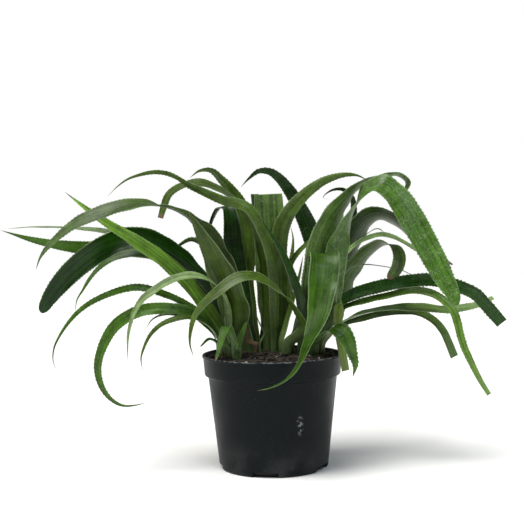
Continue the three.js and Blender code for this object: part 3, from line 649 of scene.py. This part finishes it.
def blade_surface(node, number, settings):
    """A blade as a closed surface of two parameters. Along the blade, the frame's sections are joined by
    smooth curves. Across it, at v from -1 to 1, a point is
    centre + side * (v * half width + tooth)
    + up * (lift * v^2 + ripple * v^3 +- half thickness * (1 - |v|^2.2) +- half margin - groove).
    Teeth rise along the margin in a saw that leans to the tip and drops sharply."""
    brightness, scurf, dried, tooth = LOOKS.get(node, USUAL_LOOK)
    chance = np.random.default_rng(7000 + number)
    sections, apex = blade_sections(node)
    left, top, right, low = (sections[:, k] for k in range(4))
    centre = (top + low) / 2
    side = (right - left) / 2
    half = np.linalg.norm(side, axis=1)
    up = unit(top - low)
    lift = np.einsum("ij,ij->i", (left + right) / 2 - centre, up)
    thick = np.linalg.norm(top - low, axis=1) / 2
    table = np.column_stack([centre, unit(side), up, half, lift, thick])
    if apex is not None:
        point = table[-1].copy()
        point[:3] = apex
        point[9:] = 0
        table = np.vstack([table, point])
    # the base runs on down into the mix
    under = table[0].copy()
    under[:3] -= 0.004 * unit(table[1, :3] - table[0, :3])
    table = np.vstack([under, table])
    steps = np.linalg.norm(np.diff(table[:, :3], axis=0), axis=1)
    stations = np.concatenate([[0], np.cumsum(steps)])
    total = stations[-1]
    per_tooth = 4
    samples = max(24, int(total / settings.tooth_spacing * per_tooth))
    at = np.linspace(0, total, samples + 1)
    if apex is not None:
        at = np.concatenate([at[:-1], total - (total - at[-2]) * np.array([0.6, 0.3, 0.1, 0])])
    run = follow(stations, table, at)
    centre, side, up = run[:, 0:3], unit(run[:, 3:6]), run[:, 6:9]
    up = unit(up - side * np.einsum("ij,ij->i", up, side)[:, None])
    half, lift, thick = np.maximum(run[:, 9:], 0).T
    widest = table[:, 9].max()
    if apex is not None and table[-2, 9] > 0.35 * widest:
        # a round tip: a quarter of an ellipse over the last span
        t = np.clip((at - stations[-2]) / (total - stations[-2]), 0, 1)
        half = np.where(t > 0, table[-2, 9] * np.sqrt(1 - t**2), half)
    half = np.maximum(half, 0.00015)
    # from here on arrays have the shape (along, round)
    even = np.linspace(-1, 1, settings.across)
    v = 0.55 * np.sin(math.pi / 2 * even) + 0.45 * even  # closer together towards the margins
    v = np.concatenate([v, v[::-1]])
    upper = np.repeat([1.0, -1.0], settings.across)
    phase = chance.uniform(0, 2 * math.pi, 6)
    waves = sum(
        size * np.sin(2 * math.pi * at / span + turn)
        for size, span, turn in ((1.0, 0.061, phase[0]), (0.6, 0.027, phase[1]))
    )
    calm = ease(at, 0.03, 0.09) * ease(total - at, 0, 0.03)
    wavy = settings.waviness * half * calm
    both = 0.6 * np.sin(2 * math.pi * at / 0.043 + phase[2])
    ripple = (wavy * waves)[:, None] * np.sign(v) * np.abs(v) ** 3 + (wavy * both)[:, None] * v**4
    saw = (np.arange(len(at)) % per_tooth) / per_tooth
    sizes = chance.uniform(0.45, 1.15, (len(at) // per_tooth + 1, 2))[np.arange(len(at)) // per_tooth]
    toothed = ease(at, 0.02, 0.06) * ease(total - at, 0.002, 0.02) * ease(half, 0.0012, 0.003)
    teeth = tooth * MM * (saw**1.4 * toothed)[:, None] * sizes
    reach = np.where(v <= -0.999, -teeth[:, :1], 0) + np.where(v >= 0.999, teeth[:, 1:], 0)
    body = settings.thickness * thick[:, None] * (1 - np.abs(v) ** 2.2)
    groove = 0.35 * settings.thickness * thick[:, None] * np.exp(-((v / 0.10) ** 2)) * (upper > 0)
    edge = np.minimum(settings.margin / 2, 0.4 * half)[:, None]
    rise = lift[:, None] * v**2 + ripple + upper * (body + edge) - groove
    points = (
        centre[:, None]
        + side[:, None] * (v * half[:, None] + reach)[..., None]
        + up[:, None] * rise[..., None]
    )
    rows, columns = points.shape[:2]
    quads = ring_quads(rows, columns, outward=False)
    j = np.arange(settings.across - 1)
    start = np.stack([j, j + 1, columns - 2 - j, columns - 1 - j], axis=-1)
    end = (rows - 1) * columns + start[:, ::-1]
    quads = np.concatenate([quads, start, end])
    spread = np.broadcast_to
    shape = (rows, columns)
    if SLOTS[node] == "leaf_dry":
        dryness = np.full(rows, 1.2)
    else:
        dryness = 1.25 * ease(dried * MM * chance.uniform(0.8, 1.25) - (total - at), -0.006, 0.004)
    fields = {
        "place": [v * half[:, None], spread(at[:, None], shape), spread(1.0 + 0.37 * number, shape)],
        "state": [spread(np.abs(v), shape), spread(upper > 0, shape), spread(dryness[:, None], shape)],
        "tone": [spread(brightness, shape), spread(scurf, shape), np.zeros(shape)],
    }
    fields = {name: np.stack(parts, axis=-1).reshape(-1, 3) for name, parts in fields.items()}
    uv = np.stack([spread((v + 1) / 2, shape), spread(at[:, None] / total, shape)], axis=-1).reshape(-1, 2)
    return points.reshape(-1, 3), quads, fields, uv


class BROMELIAD_OT_leaves(bpy.types.Operator):
    """Make every leaf of the clump over its blade in the frame"""

    bl_idname = "bromeliad.leaves"
    bl_label = "Leaves"

    def execute(self, context):
        settings = context.scene.bromeliad_leaves
        grey = np.array([0.080, 0.125, 0.045])
        materials = {}
        for finish, gloss in (
            ("green", 0.25),
            ("dark", 0.21),
            ("olive", 0.30),
            ("bright", 0.28),
            ("silver", 0.34),
            ("pale", 0.45),
            ("yellow", 0.45),
            ("dry", 0.7),
        ):
            upper = np.array(getattr(settings, finish))
            lower = 0.9 * upper + 0.1 * grey if finish != "dry" else upper
            slot = "leaf_" + finish
            materials[slot] = leaf_material(slot, tuple(upper), tuple(lower), settings, gloss)
        for number, node in enumerate(LEAVES):
            points, quads, fields, uv = blade_surface(node, number, settings)
            slot = SLOTS[node]
            name = "blade." + node
            piece = make_piece(name, points, quads, NO_TRIANGLES, materials[slot], fields, uv)
            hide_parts(node)
        return {"FINISHED"}


# ---- pot ----


class BROMELIAD_OT_pot(bpy.types.Operator):
    """Make the nursery pot with its band, lip and drain recesses"""

    bl_idname = "bromeliad.pot"
    bl_label = "Pot"

    def execute(self, context):
        """The pot is a closed profile carried round Z: out along the underside, up the wall, over the lip and
        down inside. Where a direction falls in a drain recess, the underside is raised to the recess's roof,
        and round the middle of the roof to the hole's depth."""
        s = context.scene.bromeliad_pot
        high = pot_high[2]
        rim = pot_high[0]
        foot = high - s.band
        low_bend = foot - s.wall
        drain_back = s.base_radius - s.drain_depth
        hole_at = s.base_radius - s.drain_depth / 2 - s.wall
        bend = np.linspace(0, math.pi / 2, 7)
        base_r = [0, 0.02, 0.04, drain_back - 0.0003, drain_back, drain_back + 0.0003]
        base_r += list(np.linspace(drain_back + 0.001, s.base_radius - s.foot_round - 0.0005, 16))
        outer = [(r, 0.0) for r in base_r]
        outer += [
            (s.base_radius - s.foot_round * (1 - math.sin(a)), s.foot_round * (1 - math.cos(a))) for a in bend
        ]
        for z in (0.0055, s.drain_height, s.drain_height + 0.0004, 0.012, 0.03, 0.05, 0.07, 0.09):
            outer.append((np.interp(z, [s.foot_round, low_bend], [s.base_radius, s.body_top_radius]), z))
        outer += [
            (s.body_top_radius - 0.0001, low_bend - 0.0012),
            (s.body_top_radius + 0.0002, low_bend - 0.0003),
            (s.body_top_radius + 0.0010, low_bend + 0.0002),
            (s.band_foot_radius - 0.0014, foot - 0.0004),
            (s.band_foot_radius - 0.0005, foot),
            (s.band_foot_radius, foot + 0.0008),
            (s.band_foot_radius + 0.0001, foot + 0.002),
            (np.interp(0.5, [0, 1], [s.band_foot_radius, s.band_radius]), (foot + high - s.lip) / 2),
            (s.band_radius, high - s.lip - 0.0008),
            (s.band_radius + 0.0001, high - s.lip - 0.0002),
            (rim - 0.0005, high - s.lip + 0.0001),
            (rim - 0.0001, high - s.lip + 0.0006),
            (rim, high - s.lip + 0.0012),
            (rim, high - 0.0012),
            (rim - 0.0002, high - 0.0005),
            (rim - 0.0006, high),
        ]
        inner = [
            (s.band_radius - s.wall + 0.0004, high),
            (s.band_radius - s.wall, high - 0.0006),
            (s.band_foot_radius - s.wall, foot + s.wall),
            (s.body_top_radius - s.wall, low_bend + s.wall),
            (s.base_radius - s.wall + 0.0003, s.floor + s.foot_round),
            (s.base_radius - s.wall - s.foot_round, s.floor),
            (drain_back - s.wall, s.floor),
            (drain_back - s.wall - 0.0003, s.floor),
            (0, s.floor),
        ]
        profile = np.array(outer + inner)
        half_turn = math.asin(s.drain_width / 2 / s.base_radius)
        middles = s.first_drain + 2 * math.pi / s.drains * np.arange(s.drains)
        edges = (middles[:, None] + np.array([-half_turn, half_turn])).ravel()
        near = math.radians(0.06)
        fine = (middles[:, None] + np.linspace(-0.09, 0.09, 25)).ravel()
        even = np.linspace(0, 2 * math.pi, 240, endpoint=False)
        turns = np.concatenate([even, edges - near, edges + near, fine])
        turns = np.unique(np.round(turns % (2 * math.pi), 6))
        radius = np.repeat(profile[:, :1], len(turns), axis=1)
        height = np.repeat(profile[:, 1:], len(turns), axis=1)
        away = (turns[None] - middles[:, None] + math.pi) % (2 * math.pi) - math.pi
        nearest = away[np.abs(away).argmin(axis=0), np.arange(len(turns))]
        inside = np.abs(nearest)[None] < half_turn
        is_outer = (np.arange(len(profile)) < len(outer))[:, None]
        roof = is_outer & inside & (radius > drain_back)
        height = np.where(roof, np.maximum(height, s.drain_height), height)
        from_hole = np.hypot(radius * np.cos(nearest) - hole_at, radius * np.sin(nearest))
        hole = is_outer & (from_hole < s.drain_hole / 2) & (radius < s.base_radius - s.foot_round)
        height = np.where(hole, s.drain_height + 0.7 * s.wall, height)
        pad = ~is_outer & inside & (radius > drain_back - s.wall) & (height < s.drain_height + s.wall)
        height = np.where(pad, s.drain_height + s.wall, height)
        points, quads, triangles = turned(radius, height, turns)
        material = plastic_material(s, high)
        piece = make_piece("nursery_pot", points, quads, triangles, material)
        piece.data.set_sharp_from_angle(angle=math.radians(50))
        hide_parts("pot")
        return {"FINISHED"}


# ---- potting mix ----


def mix_top(x, y):
    """Height of the mix: a low mound, 1 - (r / edge)^2 of its rise, as in the frame."""
    edge = mix_high[0]
    low = pot_high[2] - HEADROOM
    return low + MOUND * (1 - np.clip(np.hypot(x, y) / edge, 0, 1) ** 2)


def scattered(chance, number, reach):
    """Random places on the surface of the mix, even over its area."""
    radius = reach * np.sqrt(chance.uniform(0, 1, number))
    turn = chance.uniform(0, 2 * math.pi, number)
    x, y = radius * np.cos(turn), radius * np.sin(turn)
    return np.stack([x, y, mix_top(x, y)], axis=-1)


def pebbles(places, sizes, turns, tilts, block, seed, rows=7, columns=9):
    """Rough grains: a sphere in latitude and longitude whose sines and cosines are raised to the power block,
    which makes them boxy, stretched to sizes, roughened by noise, tilted, turned and moved to places."""
    down = np.linspace(0, math.pi, rows)[1:-1]
    round_turn = np.linspace(0, 2 * math.pi, columns, endpoint=False)

    def boxy(number):
        return np.sign(number) * np.abs(number) ** block

    x = boxy(np.sin(down))[:, None] * boxy(np.cos(round_turn))
    y = boxy(np.sin(down))[:, None] * boxy(np.sin(round_turn))
    z = boxy(np.cos(down))[:, None] + 0 * x
    shape = np.concatenate([[[0, 0, 1]], np.stack([x, y, z], axis=-1).reshape(-1, 3), [[0, 0, -1]]])
    number, each = len(places), len(shape)
    rough = lumps(shape[None] + 10 * np.arange(number)[:, None, None], 0.8, seed)
    grains = shape[None] * (1 + 0.28 * rough[..., None]) * sizes[:, None] / 2
    cos, sin = np.cos(tilts)[:, None], np.sin(tilts)[:, None]
    px = grains[..., 0]
    py = grains[..., 1] * cos - grains[..., 2] * sin
    pz = grains[..., 1] * sin + grains[..., 2] * cos
    cos, sin = np.cos(turns)[:, None], np.sin(turns)[:, None]
    grains = np.stack([px * cos - py * sin, px * sin + py * cos, pz], axis=-1) + places[:, None]
    quads = 1 + ring_quads(rows - 2, columns, outward=False)
    j = np.arange(columns)
    after = (j + 1) % columns
    last = 1 + (rows - 3) * columns
    caps = np.concatenate(
        [
            np.stack([np.zeros_like(j), 1 + j, 1 + after], axis=-1),
            np.stack([np.full_like(j, each - 1), last + after, last + j], axis=-1),
        ]
    )
    offset = each * np.arange(number)[:, None, None]
    return grains.reshape(-1, 3), (quads[None] + offset).reshape(-1, 4), (caps[None] + offset).reshape(-1, 3)


def fibres(paths, radius, sides=5):
    """Thin tubes: a ring of the given radius, narrowing to both ends, stands square to each path. Paths have
    the shape (tubes, points, 3)."""
    number, stations = paths.shape[:2]
    along = unit(np.gradient(paths, axis=1))
    across = unit(np.cross(along, np.array([0, 0, 1.0]) + 0.01 * along))
    over = np.cross(across, along)
    turn = np.linspace(0, 2 * math.pi, sides, endpoint=False)
    swell = np.sqrt(np.sin(np.linspace(0.15, math.pi - 0.1, stations)))
    thin = radius * (0.25 + 0.75 * swell)[None, :, None, None]
    ring = across[:, :, None] * np.cos(turn)[:, None] + over[:, :, None] * np.sin(turn)[:, None]
    points = paths[:, :, None] + thin * ring
    quads = ring_quads(stations, sides)
    middle = np.arange(1, sides - 1)
    last = (stations - 1) * sides
    caps = np.concatenate(
        [
            np.stack([0 * middle, middle + 1, middle], axis=-1),
            np.stack([0 * middle + last, last + middle, last + middle + 1], axis=-1),
        ]
    )
    offset = stations * sides * np.arange(number)[:, None, None]
    return points.reshape(-1, 3), (quads[None] + offset).reshape(-1, 4), (caps[None] + offset).reshape(-1, 3)


class BROMELIAD_OT_mix(bpy.types.Operator):
    """Make the potting mix with its lumpy surface"""

    bl_idname = "bromeliad.mix"
    bl_label = "Potting mix"

    def execute(self, context):
        """The mix is turned round Z: down its side, in along its underside, and up over a mound whose height
        has noise of three sizes added, which dies out at the wall."""
        s = context.scene.bromeliad_mix
        p = context.scene.bromeliad_pot
        edge = mix_high[0]
        gap = CLEARANCE
        low = p.floor + gap
        reach = np.linspace(0, 1, 110)[::-1]
        foot = pot_high[2] - p.band
        side = [
            (0, low),
            (0.5 * p.base_radius, low),
            (p.base_radius - p.wall - p.foot_round - gap, low),
            (p.base_radius - p.wall - gap, low + p.foot_round),
            (p.body_top_radius - p.wall - gap, foot),
            (p.band_foot_radius - p.wall - 2 * gap, foot + p.wall + 2 * gap),
        ]
        turns = np.linspace(0, 2 * math.pi, 360, endpoint=False)
        radius = np.concatenate([[r for r, _ in side], edge * reach])
        radius = np.repeat(radius[:, None], len(turns), axis=1)
        x, y = radius * np.cos(turns), radius * np.sin(turns)
        flat = np.stack([x, y, 0 * x], axis=-1)
        rough = lumps(flat, 0.009, 1) + 0.7 * lumps(flat, 0.004, 2) + 0.55 * lumps(flat, 0.0018, 3)
        top = mix_top(x, y) + s.bump * rough * ease(edge - radius, 0, 0.004)
        height = np.repeat(np.array([z for _, z in side] + [0.0] * len(reach))[:, None], len(turns), axis=1)
        height = np.where(np.arange(len(radius))[:, None] < len(side), height, top)
        points, quads, triangles = turned(radius, height, turns)
        peat = tuple(s.peat)
        material = grain_material("peat", peat, tuple(2.6 * np.array(peat)), 700.0, 0.47, 0.92, 1.0, 0.0012)
        piece = make_piece("peat_mix", points, quads, triangles, material)
        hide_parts("potting_mix")
        return {"FINISHED"}


class BROMELIAD_OT_litter(bpy.types.Operator):
    """Scatter bark chips, crumbs, perlite and fine roots over the mix"""

    bl_idname = "bromeliad.litter"
    bl_label = "Bark, perlite and roots"

    def execute(self, context):
        s = context.scene.bromeliad_mix
        reach = mix_high[0] - 0.003
        chance = np.random.default_rng(41)
        bark, peat, perlite = tuple(s.bark), tuple(s.peat), tuple(s.perlite)
        # name, how many, length, width and depth as shares of it, boxiness, colour, the second colour as a
        # share of the first, roughness, and how fine the grain is
        kinds = (
            ("bark_chips", s.chips, (0.0028, 0.0085), (0.5, 0.9), (0.2, 0.42), 0.6, bark, 0.55, 0.6, 420.0),
            ("peat_crumbs", s.crumbs, (0.0012, 0.0036), (0.7, 1.0), (0.5, 0.9), 0.8, peat, 3.0, 0.9, 900.0),
            ("perlite", s.grains, (0.0010, 0.0026), (0.8, 1.0), (0.7, 1.0), 0.85, perlite, 0.7, 0.7, 1200.0),
        )
        for seed, (name, number, size, width, depth, block, colour, second, rough, scale) in enumerate(kinds):
            long_way = chance.uniform(0, 1, number) ** 1.6 * (size[1] - size[0]) + size[0]
            wide = long_way * chance.uniform(*width, number)
            deep = long_way * chance.uniform(*depth, number)
            sizes = np.stack([long_way, wide, deep], axis=-1)
            places = scattered(chance, number, reach)
            places[:, 2] += 0.0006 + 0.2 * sizes[:, 2]
            turns = chance.uniform(0, 2 * math.pi, number)
            tilts = chance.normal(0, 0.45, number)
            points, quads, triangles = pebbles(places, sizes, turns, tilts, block, 50 + seed)
            other = tuple(np.minimum(second * np.array(colour), 1))
            dark, light = (other, colour) if second < 1 else (colour, other)
            material = grain_material(name, dark, light, scale, 0.5, rough, 0.7, 0.0005)
            make_piece(name, points, quads, triangles, material)
        number, stations = s.roots, 16
        start = scattered(chance, number, reach - 0.008)
        t = np.linspace(0, 1, stations)
        size = chance.uniform(0.010, 0.034, (number, 1))
        heading = chance.uniform(0, 2 * math.pi, (number, 1)) + chance.normal(0, 1.5, (number, 1)) * t
        heading = heading + 0.5 * np.sin(7 * t + chance.uniform(0, 6, (number, 1)))
        x = start[:, :1] + np.cumsum(np.cos(heading) * size / stations, axis=1)
        y = start[:, 1:2] + np.cumsum(np.sin(heading) * size / stations, axis=1)
        inwards = np.minimum(1, reach / np.maximum(np.hypot(x, y), 1e-9))
        x, y = x * inwards, y * inwards
        hop = chance.uniform(0.0002, 0.0042, (number, 1)) * np.sin(math.pi * t)
        paths = np.stack([x, y, mix_top(x, y) + 0.0009 + hop], axis=-1)
        points, quads, triangles = fibres(paths, 0.0004)
        fibre = tuple(s.fibre)
        shade = tuple(0.45 * np.array(fibre))
        material = grain_material("fibre", shade, fibre, 900.0, 0.55, 0.8, 0.3, 0.0003)
        make_piece("fine_roots", points, quads, triangles, material)
        return {"FINISHED"}


class BROMELIAD_OT_rootstock(bpy.types.Operator):
    """Give the woody rootstock its finish"""

    bl_idname = "bromeliad.rootstock"
    bl_label = "Rootstock"

    def execute(self, context):
        s = context.scene.bromeliad_mix
        wood = tuple(s.rhizome)
        shade = tuple(0.4 * np.array(wood))
        material = grain_material("rootstock", shade, wood, 350.0, 0.5, 0.85, 0.9, 0.001)
        mesh = frame["nodes"]["rootstock"].data
        mesh.materials.clear()
        mesh.materials.append(material)
        return {"FINISHED"}


# ---- stage ----


class BROMELIAD_OT_stage(bpy.types.Operator):
    """Lay the floor, hang the lights and stand the camera"""

    bl_idname = "bromeliad.stage"
    bl_label = "Stage"

    def execute(self, context):
        """The floor is a flat grid at the height of the pot's foot. The camera looks along
        (sin yaw cos pitch, cos yaw cos pitch, sin pitch) and is then rolled about that line."""
        s = context.scene.bromeliad_stage
        scene = context.scene
        x, y = np.meshgrid(np.linspace(-4, 4, 9), np.linspace(-4, 4, 9), indexing="ij")
        points = np.stack([x, y, np.full_like(x, cad_low[2])], axis=-1).reshape(-1, 3)
        i, j = np.meshgrid(np.arange(8), np.arange(8), indexing="ij")
        quads = np.stack([9 * i + j, 9 * i + 9 + j, 9 * i + 10 + j, 9 * i + 1 + j], axis=-1).reshape(-1, 4)
        mesh = bpy.data.meshes.new("floor")
        mesh.from_pydata(points.tolist(), [], quads.tolist())
        material, nodes, shader, height = new_material("floor", 0.8, 0.05, 0.0005)
        where, _ = nodes.here()
        cloud = nodes.noise(where, 3.0, 3.0)
        pale = tuple(s.floor)
        paler = tuple(np.minimum(1.03 * np.array(pale), 1))
        nodes.put(shader.inputs["Base Color"], nodes.mix(cloud, pale, paler))
        nodes.put(height, nodes.noise(where, 400.0, 2.0))
        mesh.materials.append(material)
        floor = bpy.data.objects.new("floor", mesh)
        scene.collection.objects.link(floor)

        world = bpy.data.worlds.new("surround")
        world.use_nodes = True
        sky = Nodes(world.node_tree)
        seen = world.node_tree.nodes["Background"]
        seen.inputs["Color"].default_value = (1, 1, 1, 1)
        # what the plant is lit by: white behind and beside it, dim on the side that it is looked at from
        round_it = sky.add("ShaderNodeBackground")
        facing = sky.add("ShaderNodeSeparateXYZ")
        sky.put(facing.inputs[0], sky.add("ShaderNodeTexCoord").outputs["Generated"])
        strength = sky.span(facing.outputs[1], -0.7, 0.7, 0.12 * s.sky, 0.75 * s.sky)
        sky.put(round_it.inputs["Strength"], strength)
        both = sky.add("ShaderNodeMixShader")
        sky.put(both.inputs[0], sky.add("ShaderNodeLightPath").outputs["Is Camera Ray"])
        sky.put(both.inputs[1], round_it.outputs[0])
        sky.put(both.inputs[2], seen.outputs[0])
        sky.put(world.node_tree.nodes["World Output"].inputs["Surface"], both.outputs[0])
        scene.world = world
        for name, spot, size, power, colour in (
            ("left_window", (-1.5, -0.7, 1.1), 0.7, 0.35 * s.key, (1.0, 0.97, 0.92)),
            ("front_window", (0.55, -1.3, 1.25), 0.30, 0.35 * s.key, (0.80, 0.91, 1.0)),
        ):
            lamp = bpy.data.lights.new(name, "AREA")
            lamp.size = size
            lamp.energy = power
            lamp.color = colour
            holder = bpy.data.objects.new(name, lamp)
            holder.location = spot
            holder.rotation_euler = (Vector((0, 0, 0.18)) - Vector(spot)).to_track_quat("-Z", "Y").to_euler()
            scene.collection.objects.link(holder)
        sun = bpy.data.lights.new("overhead", "SUN")
        sun.energy = s.overhead
        sun.angle = math.radians(35)
        sun.color = (1.0, 0.99, 0.96)
        holder = bpy.data.objects.new("overhead", sun)
        holder.rotation_euler = (math.radians(12), math.radians(-14), 0)
        scene.collection.objects.link(holder)
        scene.view_settings.view_transform = "Standard"

        yaw, pitch, roll = s.yaw, s.pitch, s.roll
        ahead = Vector((math.sin(yaw) * math.cos(pitch), math.cos(yaw) * math.cos(pitch), math.sin(pitch)))
        right = Vector((math.cos(yaw), -math.sin(yaw), 0))
        above = right.cross(ahead)
        across = right * math.cos(roll) - above * math.sin(roll)
        upward = right * math.sin(roll) + above * math.cos(roll)
        camera = bpy.data.objects.new("camera", bpy.data.cameras.new("camera"))
        camera.data.lens = s.lens
        camera.data.sensor_width = 36
        camera.data.clip_end = 50
        turn = Matrix((across, upward, -ahead)).transposed().to_4x4()
        camera.matrix_world = Matrix.Translation((0, -s.distance, s.height)) @ turn
        scene.collection.objects.link(camera)
        scene.camera = camera
        return {"FINISHED"}


class BROMELIAD_PT_parts(bpy.types.Panel):
    """Lists the makers of each part"""

    bl_label = "Potted bromeliad"
    bl_space_type = "VIEW_3D"
    bl_region_type = "UI"
    bl_category = "Bromeliad"

    def draw(self, context):
        for maker in MAKERS:
            self.layout.operator(maker.bl_idname)
        for settings in SETTINGS:
            box = self.layout.box()
            for key in settings[1].__annotations__:
                box.prop(getattr(context.scene, settings[0]), key)


SETTINGS = (
    ("bromeliad_leaves", LeafSettings),
    ("bromeliad_pot", PotSettings),
    ("bromeliad_mix", MixSettings),
    ("bromeliad_stage", StageSettings),
)
MAKERS = (
    BROMELIAD_OT_leaves,
    BROMELIAD_OT_pot,
    BROMELIAD_OT_mix,
    BROMELIAD_OT_litter,
    BROMELIAD_OT_rootstock,
    BROMELIAD_OT_stage,
)


def register():
    """Register the settings, the makers and the panel."""
    for name, group in SETTINGS:
        bpy.utils.register_class(group)
        setattr(bpy.types.Scene, name, bpy.props.PointerProperty(type=group))
    for maker in (*MAKERS, BROMELIAD_PT_parts):
        bpy.utils.register_class(maker)


def unregister():
    """Take them away again."""
    for maker in (BROMELIAD_PT_parts, *reversed(MAKERS)):
        bpy.utils.unregister_class(maker)
    for name, group in reversed(SETTINGS):
        delattr(bpy.types.Scene, name)
        bpy.utils.unregister_class(group)


def main():
    """Make everything in order."""
    register()
    bpy.ops.bromeliad.leaves()
    bpy.ops.bromeliad.pot()
    bpy.ops.bromeliad.mix()
    bpy.ops.bromeliad.litter()
    bpy.ops.bromeliad.rootstock()
    bpy.ops.bromeliad.stage()


if __name__ == "__main__":
    main()
